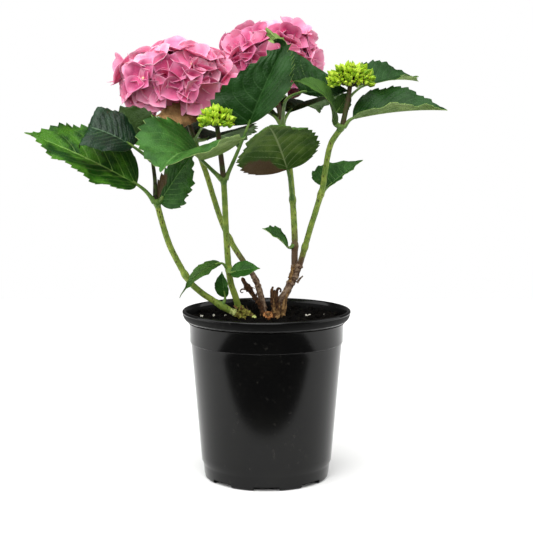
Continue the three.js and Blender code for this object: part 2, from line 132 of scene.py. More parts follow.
def curve(points: Sequence[Point | Array], step: float) -> Array:
    """A smooth line through the given points.

    Args:
        points: Where the line goes, in order.
        step: Spacing of the points that come back.

    Returns:
        One point in each row, evenly spaced along the line.
    """
    given = np.array(points, float)
    padded = np.vstack([2 * given[0] - given[1], given, 2 * given[-1] - given[-2]])
    fine = np.linspace(0, 1, CURVE_STEPS, endpoint=False)[:, None]
    pieces = []
    for before, start, end, after in zip(padded, padded[1:], padded[2:], padded[3:]):
        straight = 2 * start + (end - before) * fine
        bend = (2 * before - 5 * start + 4 * end - after) * fine**2
        twist = (3 * start - before - 3 * end + after) * fine**3
        pieces.append(0.5 * (straight + bend + twist))
    line = np.vstack([*pieces, given[-1:]])
    travelled = np.concatenate([[0], np.cumsum(np.linalg.norm(np.diff(line, axis=0), axis=1))])
    count = max(3, round(travelled[-1] / step) + 1)
    stops = np.linspace(0, travelled[-1], count)
    return np.stack([np.interp(stops, travelled, line[:, axis]) for axis in range(3)], axis=1)


def rough(points: Array, grain: float, octaves: int = 3) -> Array:
    """Uneven heights from -1 to 1 that change over about one grain.

    Args:
        points: One point in each row.
        grain: Size of the lumps in millimetres.
        octaves: How many finer layers the lumps have.

    Returns:
        One height for each point.
    """
    return np.array([noise.fractal(Vector(p / grain), 0.9, 2.0, octaves) for p in points])


def bark_relief(levels: Array, radius: float, sides: int, shift: Sequence[float], octaves: int) -> Array:
    """Uneven heights over the bark of a round limb.

    Args:
        levels: How far up the pattern each ring of the limb lies.
        radius: The radius of the rings in the pattern.
        sides: How many sides the limb has.
        shift: Where in the pattern the limb stands.
        octaves: How many finer layers the relief has.

    Returns:
        One row of heights for each ring.
    """
    turns = circle(sides)
    ring = np.stack([np.cos(turns) * radius, np.sin(turns) * radius, np.zeros(sides)], axis=1)
    spots = ring + levels[:, None, None] * UP + shift
    return rough(spots.reshape(-1, 3), 2.2, octaves).reshape(len(levels), sides)


# ---------------------------------------------------------------- meshes


class Shell:
    """Gathers the points and faces of one mesh."""

    def __init__(self) -> None:
        """Starts with nothing in it."""
        self.points: list[Array] = []
        self.faces: Faces = []
        self.finishes: list[int] = []
        self.places: list[Array] = []
        self.size = 0

    def add(
        self, points: Array, faces: Sequence[tuple[int, ...]], finish: int = 0, places: Array | None = None
    ) -> None:
        """Adds a set of faces.

        Args:
            points: One point in each row.
            faces: Numbers of the points round each face, counted from the first row.
            finish: Which of the mesh's finishes the faces take.
            places: Where each point lies on the pattern of its finish.
        """
        self.points.append(points)
        self.faces += [tuple(int(corner) + self.size for corner in face) for face in faces]
        self.finishes += [finish] * len(faces)
        self.places.append(np.zeros((len(points), 2)) if places is None else places)
        self.size += len(points)

    def build(self, name: str, finishes: Sequence[Material], sharp: float = 60) -> Piece:
        """Makes the Blender object.

        Args:
            name: Name of the object.
            finishes: Its materials, in the order that add() numbers them.
            sharp: Edges that bend by more than this many degrees stay sharp.

        Returns:
            The object, in the scene.
        """
        mesh = bpy.data.meshes.new(name)
        mesh.from_pydata((np.vstack(self.points) * MM).tolist(), [], self.faces)
        for material in finishes:
            mesh.materials.append(material)
        mesh.polygons.foreach_set("material_index", self.finishes)
        corners = np.empty(len(mesh.loops), np.int32)
        mesh.loops.foreach_get("vertex_index", corners)
        layer = mesh.uv_layers.new(name="place")
        layer.data.foreach_set("uv", np.vstack(self.places)[corners].astype(np.float32).ravel())
        mesh.polygons.foreach_set("use_smooth", [True] * len(mesh.polygons))
        mesh.set_sharp_from_angle(angle=math.radians(sharp))
        mesh.update()
        return in_scene(name, mesh)


def in_scene(name: str, content: bpy.types.ID) -> Piece:
    """Puts a mesh, a light or a camera in the scene.

    Args:
        name: Name of the new object.
        content: What the object holds.

    Returns:
        The object.
    """
    holder = bpy.data.objects.new(name, content)
    bpy.context.scene.collection.objects.link(holder)
    return holder


def grid(rows: int, columns: int, round_trip: bool = False) -> Faces:
    """The faces between rows of points.

    Args:
        rows: How many rows there are.
        columns: How many points a row has.
        round_trip: Whether each row's last point joins its first.

    Returns:
        Four corners for each face.
    """
    faces = []
    for row in range(rows - 1):
        for column in range(columns if round_trip else columns - 1):
            here = row * columns + column
            beside = row * columns + (column + 1) % columns
            faces.append((here, beside, beside + columns, here + columns))
    return faces


def tube(shell: Shell, line: Array, radii: Array, finish: int = 0) -> None:
    """Adds a round limb along a line, closed at both ends.

    Args:
        shell: The mesh to add it to.
        line: Its centre line, one point in each row.
        radii: One radius for each point of the line, or a row of radii round each point.
        finish: Which finish it takes.
    """
    radii = np.atleast_2d(radii.T).T
    sides = radii.shape[1] if radii.shape[1] > 1 else TUBE_SIDES
    along = unit(np.gradient(line, axis=0))
    across = unit(np.cross(along[0], ASKEW))
    rings, places = [], []
    turns = circle(sides)
    travelled = 0.0
    for k, centre in enumerate(line):
        across = unit(across - along[k] * (across @ along[k]))
        beside = np.cross(along[k], across)
        ring = np.cos(turns)[:, None] * across + np.sin(turns)[:, None] * beside
        rings.append(centre + ring * np.broadcast_to(radii[k], sides)[:, None])
        travelled += np.linalg.norm(centre - line[k - 1]) if k else 0
        places.append(np.stack([np.full(sides, travelled), turns], axis=1))
    faces = grid(len(line), sides, True)
    last = len(line) * sides - sides
    for side in range(sides):
        beside = (side + 1) % sides
        faces += [(last + sides, beside, side), (last + sides + 1, last + side, last + beside)]
    spots = np.vstack([*places, places[0][:1], places[-1][-1:]])
    shell.add(np.vstack([*rings, line[:1], line[-1:]]), faces, finish, spots)


def lathe(profile: Sequence[tuple[float, float]], sides: int) -> tuple[Array, Faces, Array]:
    """A turned shape whose outline starts and ends on the axis.

    Args:
        profile: Radius and height of each point of the outline.
        sides: How many sides it has.

    Returns:
        Its points, its faces and each point's place.
    """
    turns = circle(sides)
    inner = profile[1:-1]
    rings = [np.stack([r * np.cos(turns), r * np.sin(turns), np.full(sides, z)], axis=1) for r, z in inner]
    places = [np.stack([turns, np.full(sides, z)], axis=1) for _, z in inner]
    points = np.vstack([*rings, [[0, 0, profile[0][1]], [0, 0, profile[-1][1]]]])
    spots = np.vstack([*places, [[0, profile[0][1]], [0, profile[-1][1]]]])
    faces = grid(len(inner), sides, True)
    first, last = len(inner) * sides, len(inner) * sides + 1
    for side in range(sides):
        beside = (side + 1) % sides
        faces.append((first, beside, side))
        faces.append((last, first - sides + side, first - sides + beside))
    return points, faces, spots


def sheet(shell: Shell, upper: Array, lower: Array, places: Array, finish: int, under: int) -> None:
    """Adds a thin closed sheet: an upper face, a lower face and the rim that joins them.

    Args:
        shell: The mesh to add it to.
        upper: The upper face's points, by row and column.
        lower: The lower face's points.
        places: Where each point lies on the pattern of its finish.
        finish: Which finish the upper face takes.
        under: Which finish the lower face and the rim take.
    """
    rows, columns = upper.shape[:2]
    start, below = shell.size, rows * columns
    faces = grid(rows, columns)
    spots = places.reshape(-1, 2)
    shell.add(upper.reshape(-1, 3), [face[::-1] for face in faces], finish, spots)
    shell.add(lower.reshape(-1, 3), faces, under, spots)
    numbers = np.arange(start, start + below).reshape(rows, columns)
    ring = [*numbers[:, 0], *numbers[-1, 1:], *numbers[-2::-1, -1], *numbers[0, -2:0:-1]]
    for here, beside in zip(ring, ring[1:] + ring[:1]):
        shell.faces.append((int(beside), int(here), int(here) + below, int(beside) + below))
        shell.finishes.append(under)


def finished(piece: Piece, slot: str, *nodes: str) -> None:
    """Sets a piece on the plant's body in place of its solids.

    Args:
        piece: The piece.
        slot: Not used.
        nodes: The solids that it stands for.
    """
    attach(piece, BODY)
    if nodes:
        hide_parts(*nodes)
    log.info("%s: %d faces", piece.name, len(piece.data.polygons))


# ---------------------------------------------------------------- finishes

# Settings that many nodes share.
SOFT = {"interpolation_type": "SMOOTHSTEP"}
COLOURS = {"data_type": "RGBA"}
FALLING = {"To Min": 1.0, "To Max": 0.0}
# Sockets of the Mix node when it mixes colours.
FACTOR, FIRST, SECOND = 0, 6, 7


def linear(colour: str) -> tuple[float, float, float, float]:
    """Turns a colour from sRGB into linear light.

    Args:
        colour: The colour in hex, such as "#2f6a2a".

    Returns:
        Linear red, green and blue, and an alpha of one.
    """
    shares = [int(colour[k : k + 2], 16) / 255 for k in (1, 3, 5)]
    red, green, blue = [c / 12.92 if c <= 0.04045 else ((c + 0.055) / 1.055) ** 2.4 for c in shares]
    return red, green, blue, 1.0


def add_node(
    tree: Tree, kind: str, inputs: dict | None = None, out: str = "", **settings: object
) -> Socket | None:
    """Adds one node.

    Args:
        tree: The node tree that it goes into.
        kind: The node's type, without the prefix that all of them share.
        inputs: A socket to link or a value to set, by the input's name or number.
        out: The output that comes back, or none for the first one in use.
        settings: The node's own settings.

    Returns:
        The output's socket, or none where the node has no output.
    """
    node = tree.nodes.new(f"ShaderNode{kind}")
    for name, value in settings.items():
        setattr(node, name, value)
    for socket, value in (inputs or {}).items():
        if isinstance(value, Socket):
            tree.links.new(value, node.inputs[socket])
        else:
            node.inputs[socket].default_value = value
    if out:
        return node.outputs[out]
    return next((socket for socket in node.outputs if socket.enabled), None)


@dataclass(frozen=True)
class Surface:
    """What all the finishes share: two tones that a noise blends, and a fine relief."""

    name: str
    colour: str
    second: str
    patch: float  # size of the patches of the second tone, in mm
    roughness: float
    grain: float  # size of the relief's lumps, in mm
    relief: float  # height of the relief, in mm
    ior: float = 1.45
    softness: float = 0.0  # share of the light that spreads under the surface
    shine: float = 0.5  # specular level

    def base(self, tree: Tree) -> Socket:
        """The colour before any marks of the finish's own.

        Args:
            tree: The material's nodes.

        Returns:
            The colour's socket.
        """
        spot = add_node(tree, "TexCoord", out="Object")
        patches = add_node(tree, "TexNoise", {"Vector": spot, "Scale": 1 / (self.patch * MM), "Detail": 4.0})
        leaning = self.lean(tree, patches)
        share = add_node(tree, "MapRange", {"Value": leaning, "From Min": 0.36, "From Max": 0.64}, **SOFT)
        tones = {FACTOR: share, FIRST: linear(self.colour), SECOND: linear(self.second)}
        return add_node(tree, "Mix", tones, **COLOURS)

    def lean(self, tree: Tree, patches: Socket) -> Socket:
        """The noise that blends the two tones, shifted wherever one of them prevails."""
        return patches

    def on_blade(self, tree: Tree) -> tuple[Socket, Socket, Socket]:
        """Where a point lies on a leaf's or a sepal's blade.

        Args:
            tree: The material's nodes.

        Returns:
            Its place along the blade and across it, from 0 to 1, and how far out it is from the midrib.
        """
        place = add_node(tree, "TexCoord", out="UV")
        along = add_node(tree, "SeparateXYZ", {0: place}, "X")
        across = add_node(tree, "SeparateXYZ", {0: place}, "Y")
        centred = add_node(tree, "Math", {0: across, 1: 2.0, 2: -1.0}, operation="MULTIPLY_ADD")
        return along, across, add_node(tree, "Math", {0: centred}, operation="ABSOLUTE")

    def height(self, tree: Tree) -> Socket:
        """How high the fine relief stands, from 0 to 1."""
        spot = add_node(tree, "TexCoord", out="Object")
        return add_node(tree, "TexNoise", {"Vector": spot, "Scale": 1 / (self.grain * MM), "Detail": 3.0})

    def make(self) -> Material:
        """Builds the material.

        Returns:
            The material, with its shader joined to its output.
        """
        material = bpy.data.materials.new(self.name)
        material.use_nodes = True
        tree = material.node_tree
        tree.nodes.clear()
        relief = {"Height": self.height(tree), "Strength": 1.0, "Distance": self.relief * MM}
        inputs = {
            "Base Color": self.base(tree),
            "Roughness": self.roughness,
            "IOR": self.ior,
            "Specular IOR Level": self.shine,
            "Normal": add_node(tree, "Bump", relief),
            "Subsurface Weight": self.softness,
            "Subsurface Radius": (0.0022, 0.0008, 0.001),
            "Subsurface Scale": 1.0,
        }
        add_node(tree, "OutputMaterial", {"Surface": add_node(tree, "BsdfPrincipled", inputs)})
        return material


@dataclass(frozen=True)
class Scorch:
    """A dried brown patch on a leaf: its place along and across the blade, from 0 to 1, and its size."""

    along: float
    across: float
    radius: float
    colour: str = "#54432a"


@dataclass(frozen=True)
class LeafSkin(Surface):
    """One face of a leaf. Side veins leave the midrib at an even spacing and bend towards the tip."""

    vein: str = "#7fa35a"
    strength: float = 0.6  # how much the veins show
    scorch: Scorch | None = None

    def lean(self, tree: Tree, patches: Socket) -> Socket:
        """Shifts the noise so that the first tone prevails at the tip and the darker second at the base, as
        painted shade there.

        Args:
            tree: The material's nodes.
            patches: The noise.

        Returns:
            The shifted noise.
        """
        place = add_node(tree, "TexCoord", out="UV")
        along = add_node(tree, "SeparateXYZ", {0: place}, "X")
        # Painted shade: the noise leans to the darker second tone towards the leaf's base.
        shift = add_node(tree, "MapRange", {"Value": along, "To Min": 0.14, "To Max": -0.12})
        return add_node(tree, "Math", {0: patches, 1: shift}, operation="ADD")

    def veins(self, tree: Tree) -> Socket:
        """Where the veins lie: 1 on a vein and 0 between them.

        Args:
            tree: The material's nodes.

        Returns:
            The share's socket.
        """
        along, _, out = self.on_blade(tree)
        squared = add_node(tree, "Math", {0: out, 1: out}, operation="MULTIPLY")
        swept = add_node(tree, "Math", {0: squared, 1: Blade.SWEEP, 2: out}, operation="MULTIPLY_ADD")
        start = add_node(tree, "Math", {0: swept, 1: -Blade.RISE, 2: along}, operation="MULTIPLY_ADD")
        phase = add_node(tree, "Math", {0: start, 1: float(Blade.PAIRS)}, operation="MULTIPLY")
        off = add_node(tree, "Math", {0: phase, 1: 0.5}, operation="PINGPONG")
        thin = {"Value": off, "From Min": 0.012, "From Max": 0.06} | FALLING
        side = add_node(tree, "MapRange", thin, **SOFT)
        thick = {"Value": out, "From Min": 0.01, "From Max": 0.035} | FALLING
        middle = add_node(tree, "MapRange", thick, **SOFT)
        # Side veins fade towards the margin and towards the tip.
        outwards = {"Value": out, "From Min": 0.2, "From Max": 1.0, "To Min": 1.0, "To Max": 0.12}
        tipwards = {"Value": along, "From Min": 0.25, "From Max": 0.75, "To Min": 1.0, "To Max": 0.3}
        for fading in (tipwards, outwards):
            share = add_node(tree, "MapRange", fading)
            side = add_node(tree, "Math", {0: side, 1: share}, operation="MULTIPLY")
        return add_node(tree, "Math", {0: side, 1: middle}, operation="MAXIMUM")

    def base(self, tree: Tree) -> Socket:
        """The blade's two greens, its veins and its dried patch.

        Args:
            tree: The material's nodes.

        Returns:
            The colour's socket.
        """
        share = add_node(tree, "Math", {0: self.veins(tree), 1: self.strength}, operation="MULTIPLY")
        veined = {FACTOR: share, FIRST: super().base(tree), SECOND: linear(self.vein)}
        colour = add_node(tree, "Mix", veined, **COLOURS)
        if self.scorch is None:
            return colour
        place = add_node(tree, "TexCoord", out="UV")
        ragged = add_node(tree, "TexNoise", {"Vector": place, "Scale": 9.0, "Detail": 3.0})
        centre = (self.scorch.along, self.scorch.across, 0)
        away = add_node(tree, "VectorMath", {0: place, 1: centre}, operation="DISTANCE")
        edge = add_node(tree, "Math", {0: ragged, 1: 0.22, 2: away}, operation="MULTIPLY_ADD")
        ends = {"From Min": self.scorch.radius + 0.07, "From Max": self.scorch.radius + 0.13}
        dried = add_node(tree, "MapRange", {"Value": edge} | ends | FALLING, **SOFT)
        patched = {FACTOR: dried, FIRST: colour, SECOND: linear(self.scorch.colour)}
        return add_node(tree, "Mix", patched, **COLOURS)

    def height(self, tree: Tree) -> Socket:
        """The net of fine veins, which divides the blade into small raised fields.

        Args:
            tree: The material's nodes.

        Returns:
            The height's socket.
        """
        spot = add_node(tree, "TexCoord", out="Object")
        cells = {"Vector": spot, "Scale": 1 / (self.grain * MM)}
        net = add_node(tree, "TexVoronoi", cells, feature="DISTANCE_TO_EDGE")
        return add_node(tree, "MapRange", {"Value": net, "From Max": 0.35})


@dataclass(frozen=True)
class PetalSkin(Surface):
    """A mophead's sepal: soft and matte, with a paler margin and faint lengthwise veins."""

    margin: str = "#f7c9da"

    def base(self, tree: Tree) -> Socket:
        """The pink, lighter towards the margin and along fine veins.

        Args:
            tree: The material's nodes.

        Returns:
            The colour's socket.
        """
        along, across, out = self.on_blade(tree)
        far = add_node(tree, "Math", {0: out, 1: along}, operation="MAXIMUM")
        outer = {"Value": far, "From Min": 0.55, "From Max": 1.0, "To Max": 0.7}
        pale = add_node(tree, "MapRange", outer, **SOFT)
        lines = add_node(tree, "Math", {0: across, 1: 12.0}, operation="MULTIPLY")
        stripe = add_node(tree, "Math", {0: lines, 1: 0.5}, operation="PINGPONG")
        share = add_node(tree, "Math", {0: stripe, 1: 0.16, 2: pale}, operation="MULTIPLY_ADD")
        lightened = {FACTOR: share, FIRST: super().base(tree), SECOND: linear(self.margin)}
        return add_node(tree, "Mix", lightened, **COLOURS)


@dataclass(frozen=True)
class StemSkin(Surface):
    """A living shoot: green with corky dark dashes, turning brown and woody downwards."""

    speck: str = "#3f3318"
    woody: str = "#5a4530"
    woody_below: float = 0.0  # height at which it has turned brown, in mm

    def base(self, tree: Tree) -> Socket:
        """The green with its dashes and its woody foot.

        Args:
            tree: The material's nodes.

        Returns:
            The colour's socket.
        """
        spot = add_node(tree, "TexCoord", out="Object")
        long = add_node(tree, "VectorMath", {0: spot, 1: (1.0, 1.0, 0.42)}, operation="MULTIPLY")
        dashes = add_node(tree, "TexVoronoi", {"Vector": long, "Scale": 1 / (2.6 * MM), "Randomness": 1.0})
        sizes = {"Value": dashes, "From Min": 0.14, "From Max": 0.32, "To Min": 0.85, "To Max": 0.0}
        mark = add_node(tree, "MapRange", sizes, **SOFT)
        specked = {FACTOR: mark, FIRST: super().base(tree), SECOND: linear(self.speck)}
        marked = add_node(tree, "Mix", specked, **COLOURS)
        level = add_node(tree, "SeparateXYZ", {0: spot}, "Z")
        ragged = add_node(tree, "TexNoise", {"Vector": spot, "Scale": 1 / (7 * MM)})
        shifted = add_node(tree, "Math", {0: ragged, 1: 24 * MM, 2: level}, operation="MULTIPLY_ADD")
        ends = {"From Min": self.woody_below * MM, "From Max": (self.woody_below + 22) * MM}
        brown = add_node(tree, "MapRange", {"Value": shifted} | ends | FALLING, **SOFT)
        aged = {FACTOR: brown, FIRST: marked, SECOND: linear(self.woody)}
        return add_node(tree, "Mix", aged, **COLOURS)


@dataclass(frozen=True)
class PotSkin(Surface):
    """Injection-moulded polypropylene, coloured black: satin, with fine scratches and a little dust."""

    dust: str = "#4b4944"

    def base(self, tree: Tree) -> Socket:
        """The black, greyed where it is scratched.

        Args:
            tree: The material's nodes.

        Returns:
            The colour's socket.
        """
        spot = add_node(tree, "TexCoord", out="Object")
        scratch = add_node(tree, "TexNoise", {"Vector": spot, "Scale": 1 / (5 * MM), "Detail": 8.0})
        deep = {"Value": scratch, "From Min": 0.6, "From Max": 0.85, "To Max": 0.3}
        share = add_node(tree, "MapRange", deep, **SOFT)
        greyed = {FACTOR: share, FIRST: super().base(tree), SECOND: linear(self.dust)}
        return add_node(tree, "Mix", greyed, **COLOURS)


# ---------------------------------------------------------------- leaves


class Tone(Enum):
    """The leaves' greens: two of the upper face, two of the underside (each second one darker, painted shade
    at the base), the veins', and the roughness.
    """

    FRESH = ("#3f7018", "#0e3804", "#7f9a50", "#628038", "#8db45c", 0.42)
    GREEN = ("#366423", "#1f4812", "#9ab46c", "#7c9850", "#6f9a52", 0.42)
    DARK = ("#26491f", "#17380f", "#86a058", "#6c8a44", "#45693a", 0.4)
    GLOSSY = ("#0f3216", "#072211", "#4f7038", "#3a5828", "#5f7d5a", 0.3)
    SHADED = ("#2b4216", "#1d2f0e", "#43602a", "#304a1c", "#3f5a26", 0.5)
    OLIVE = ("#3f6424", "#2c4c16", "#5c7a30", "#385818", "#7f9a4c", 0.5)
    DRIED = ("#b08c5e", "#6a4e30", "#9c8054", "#5e4830", "#a08050", 0.8)


@dataclass(frozen=True)
class Leaf:
    """One leaf, along the arc from base to tip.

    arch bends it down along its length, fold lifts both halves into a V, curl turns their margins down
    again, and roll turns it about its own line. skew lifts the left half more and the right half less. tail
    is the share of the length that is a narrow tip, hook turns the end of the blade further up, or down
    where it is negative, and flip turns that end over. left and right are the halves' shares of the width,
    as seen from the base. teeth, quilt and wave say how strongly the margin is toothed, the fields between
    the veins swell and the margin ripples.
    """

    base: Point
    tip: Point
    width: float
    arch: float
    fold: float
    roll: float
    curl: float = 0.0
    on_twig: bool = False
    tone: Tone = Tone.GREEN
    wave: float = 1.6
    hook: float = 0.0
    hook_aim: float = 0.0  # 0 hooks it towards the upper face, 90 towards the right half
    flip: float = 0.0
    tail: float = 0.1
    tail_width: float = 0.06  # half the narrow tip's width at its start, as a share of the leaf's
    taper: float = 0.85  # how it narrows to its tip: less for a blunt one
    lobe: float = 3.0  # how far the blade's corners reach back past its base
    skew: float = 0.0
    raised: float = 0.0  # how much more the right half is lifted at its base than halfway to the tip
    shear: float = 0.0  # slide along the midrib for each mm away from it, the right half's forwards
    left: float = 1.0
    right: float = 1.0
    teeth: float = 1.0
    quilt: float = 1.0
    scorch: Scorch | None = None


class Blade:
    """Builds the blade of one leaf as a thin closed shell."""

    THICKNESS = 0.5
    ROUNDNESS = 0.55  # how full the blade is at its base
    FULL_LENGTH = 90  # a shorter leaf has smaller teeth, waves and ribs
    TOOTH_SPACING = 6.6
    TOOTH_DEPTH = 3.8
    TOOTH_ROWS = 5
    COLUMNS = 15  # from the midrib to each margin
    RISE = 0.3  # how far a side vein runs forward on its way to the margin, as a share of the leaf
    SWEEP = 0.35  # how much it bends forward on the way
    PAIRS = 9
    FIELD = 1.15  # height of the fields between the side veins
    GROOVE = (0.7, 1.3)  # depth and half width of the groove over the midrib
    RIB = (1.2, 1.0)  # height and half width of the midrib below
    VEIN = 0.28  # height of the side veins below
    BASE_WIDTH = 2.6
    HOOK_START = 0.74

    def __init__(self, leaf: Leaf) -> None:
        """Works out the directions that the leaf lies in.

        Args:
            leaf: The leaf to build.
        """
        self.leaf = leaf
        self.base = np.array(leaf.base, float)
        self.chord = float(np.linalg.norm(np.array(leaf.tip) - self.base))
        self.along = unit(np.array(leaf.tip, float) - self.base)
        level = unit(np.cross(self.along, UP))
        self.side = turned(level, self.along, leaf.roll)
        self.out = np.cross(self.side, self.along)
        self.teeth = max(5, round(self.chord / self.TOOTH_SPACING))

    def start(self) -> Array:
        """The direction in which the blade leaves its petiole."""
        rise = math.radians(self.leaf.arch)
        return self.along * math.cos(rise) + self.out * math.sin(rise)

    def half_width(self, t: Array) -> Array:
        """Half the blade's width.

        Args:
            t: Place along the blade, from 0 at its base to 1 at its tip.

        Returns:
            Half the width at each t.
        """
        leaf = self.leaf
        widest = self.ROUNDNESS / (self.ROUNDNESS + leaf.taper)
        main = np.clip(t / (1 - leaf.tail * 0.7), 0, 1)
        shape = main**self.ROUNDNESS * (1 - main) ** leaf.taper
        most = widest**self.ROUNDNESS * (1 - widest) ** leaf.taper
        tip = leaf.tail_width * leaf.width * np.clip((1 - t) / leaf.tail, 0, 1) ** 0.8
        return np.maximum(leaf.width / 2 * shape / most, np.where(t < 0.5, self.BASE_WIDTH / 2, tip))

    def hooked(
        self, t: Array, centre: Array, forward: Array, side: Array, normal: Array
    ) -> tuple[Array, ...]:
        """Bends the last part of the blade away from its line.

        Args:
            t: Place along the blade of each point.
            centre: The point of the midrib at each t.
            forward: The midrib's direction there.
            side: The direction of the right half there.
            normal: The direction the upper face looks in there.

        Returns:
            The midrib, its direction, the right half's direction and the face's direction after the bend.
        """
        if not self.leaf.hook:
            return centre, forward, side, normal
        stations = t[:, 0]
        root = int(np.argmax(stations >= self.HOOK_START))
        aim = math.radians(self.leaf.hook_aim)
        ahead, right, above = forward[root, 0], side[root, 0], normal[root, 0]
        towards = above * math.cos(aim) + right * math.sin(aim)
        still = right * math.cos(aim) - above * math.sin(aim)
        share = smooth(self.HOOK_START, self.HOOK_START + 0.3 * (1 - self.HOOK_START), stations)[:, None]
        angle = np.radians(self.leaf.hook) * share
        new_forward = ahead * np.cos(angle) + towards * np.sin(angle)
        new_towards = towards * np.cos(angle) - ahead * np.sin(angle)
        new_right = new_towards * math.sin(aim) + still * math.cos(aim)
        new_above = new_towards * math.cos(aim) - still * math.sin(aim)
        steps = new_forward * (self.chord * np.gradient(stations))[:, None]
        steps[: root + 1] = 0
        new_centre = centre[root, 0] + np.cumsum(steps, axis=0)
        past = (stations > self.HOOK_START)[:, None, None]
        pairs = ((new_centre, centre), (new_forward, forward), (new_right, side), (new_above, normal))
        return tuple(np.where(past, new[:, None], old) for new, old in pairs)

    def tooth(self, row: Array) -> Array:
        """How far each row's margin stands out, as a share of a tooth's depth."""
        phase = (row % self.TOOTH_ROWS) / self.TOOTH_ROWS
        return np.where(phase <= 0.8, phase / 0.8, (1 - phase) / 0.2) - 0.4

    def face(self, t: Array, s: Array, rows: Array, upper: bool) -> Array:
        """The points of one face.

        Args:
            t: Place along the blade, from 0 to 1, one row for each station.
            s: Place across it, from -1 to 1.
            rows: The number of each station, which places the teeth.
            upper: Whether this is the upper face.

        Returns:
            One point for each t and s.
        """
        leaf = self.leaf
        bend = math.radians(leaf.arch)
        radius = self.chord / (2 * math.sin(bend))
        turn = (2 * t - 1) * bend
        ahead = radius * (math.sin(bend) + np.sin(turn))
        above = radius * (np.cos(turn) - math.cos(bend))
        centre = self.base + self.along * ahead[..., None] + self.out * above[..., None]
        forward = self.along * np.cos(turn)[..., None] - self.out * np.sin(turn)[..., None]
        side = np.broadcast_to(self.side, forward.shape)
        normal = np.cross(side, forward)
        centre, forward, side, normal = self.hooked(t, centre, forward, side, normal)
        spin = (math.radians(leaf.flip) * smooth(self.HOOK_START, 0.5 + self.HOOK_START / 2, t))[..., None]
        cos, sin = np.cos(spin), np.sin(spin)
        side, normal = side * cos + normal * sin, normal * cos - side * sin

        hand, out = np.sign(s), np.abs(s)
        size = min(1.0, self.chord / self.FULL_LENGTH)
        edge = smooth(0.84, 1.0, out) * smooth(0.04, 0.16, t) * smooth(1.0, 0.93, t)
        tooth = self.TOOTH_DEPTH * leaf.teeth * size * self.tooth(rows)
        half = self.half_width(t) * np.where(s < 0, leaf.left, leaf.right)
        tooth = tooth * np.clip(half / 8, 0, 1)
        reach = half * out + tooth * edge
        lift = leaf.fold - hand * leaf.skew - leaf.curl * out / 2
        lift = np.radians(lift + np.where(s > 0, leaf.raised * (1 - 2 * t), 0))
        back = leaf.lobe * size * out**1.5 * smooth(0.3, 0.0, t)

        phase = self.PAIRS * (t - self.RISE * (out + self.SWEEP * out**2))
        field_height = np.abs(np.sin(math.pi * phase)) ** 0.7
        inside = smooth(0.0, 0.12, out) * smooth(1.04, 0.7, out) * smooth(0.0, 0.1, t) * smooth(1.0, 0.9, t)
        quilted = leaf.quilt * size * (field_height * inside * self.FIELD - 0.5)
        ripple = np.sin(2 * math.pi * (2.6 * t + 0.17 * hand)) + 0.5 * np.sin(11 * math.pi * t + s)
        waved = leaf.wave * size * ripple * out**2.2 * smooth(0.0, 0.25, t) * smooth(1.0, 0.9, t)
        groove = -self.GROOVE[0] * size * hump(out * half, self.GROOVE[1]) * (1 - t)
        rib = self.RIB[0] * size * hump(out * half, self.RIB[1]) * (1.15 - t)
        veins = self.VEIN * size * (1 - field_height) ** 3 * inside
        thick = self.THICKNESS / 2
        height = quilted + waved + (groove + thick if upper else -thick - rib - veins)
        across = hand * reach * np.cos(lift) - height * hand * np.sin(lift)
        risen = reach * np.sin(lift) + height * np.cos(lift)
        slid = 0.5 * tooth * edge - back + leaf.shear * hand * reach
        return centre + side * across[..., None] + normal * risen[..., None] + forward * slid[..., None]

    def add_to(self, shell: Shell) -> None:
        """Adds the blade to a mesh, with finish 0 above and finish 1 below.

        Args:
            shell: The mesh to add it to.
        """
        rows = self.teeth * self.TOOTH_ROWS + 1
        half = 1 - (1 - np.linspace(0, 1, self.COLUMNS + 1)) ** 1.15
        t, s = np.meshgrid(np.linspace(0, 1, rows), [*-half[:0:-1], *half], indexing="ij")
        numbers = np.broadcast_to(np.arange(rows)[:, None], t.shape)
        places = np.stack([t, (s + 1) / 2], axis=-1)
        sheet(shell, self.face(t, s, numbers, True), self.face(t, s, numbers, False), places, 0, 1)


@dataclass
class LeafFinishes:
    """The materials of the blades, made once for each tone and each dried patch."""

    made: dict[tuple[Tone, Scorch | None], list[Material]] = field(default_factory=dict)

    def of(self, leaf: Leaf) -> list[Material]:
        """The materials of a leaf's two faces.

        Args:
            leaf: The leaf.

        Returns:
            The upper face's material, then the underside's.
        """
        key = (leaf.tone, leaf.scorch)
        if key not in self.made:
            name = leaf.tone.name.lower() + ("_scorched" if leaf.scorch else "")
            top, top_second, under, under_second, vein, roughness = leaf.tone.value
            shine = 0.36 if leaf.tone is Tone.GLOSSY else 0.2
            below = "#6f8a48" if leaf.tone in (Tone.SHADED, Tone.GLOSSY) else "#a3b57a"
            # Waxy cuticle over a quilted blade: a broad soft gloss that breaks up between the veins.
            upper = LeafSkin(
                f"leaf_face_{name}", top, top_second, 16, roughness, 2.6, 0.22,
                shine=shine, vein=vein, scorch=leaf.scorch,
            )
            # Downy underside: paler, greyer and dull, with raised veins.
            lower = LeafSkin(
                f"leaf_underside_{name}", under, under_second, 18, 0.62, 2.6, 0.16, 1.4,
                shine=0.2, vein=below, scorch=leaf.scorch,
            )
            self.made[key] = [upper.make(), lower.make()]
        return self.made[key]


# ---------------------------------------------------------------- stems


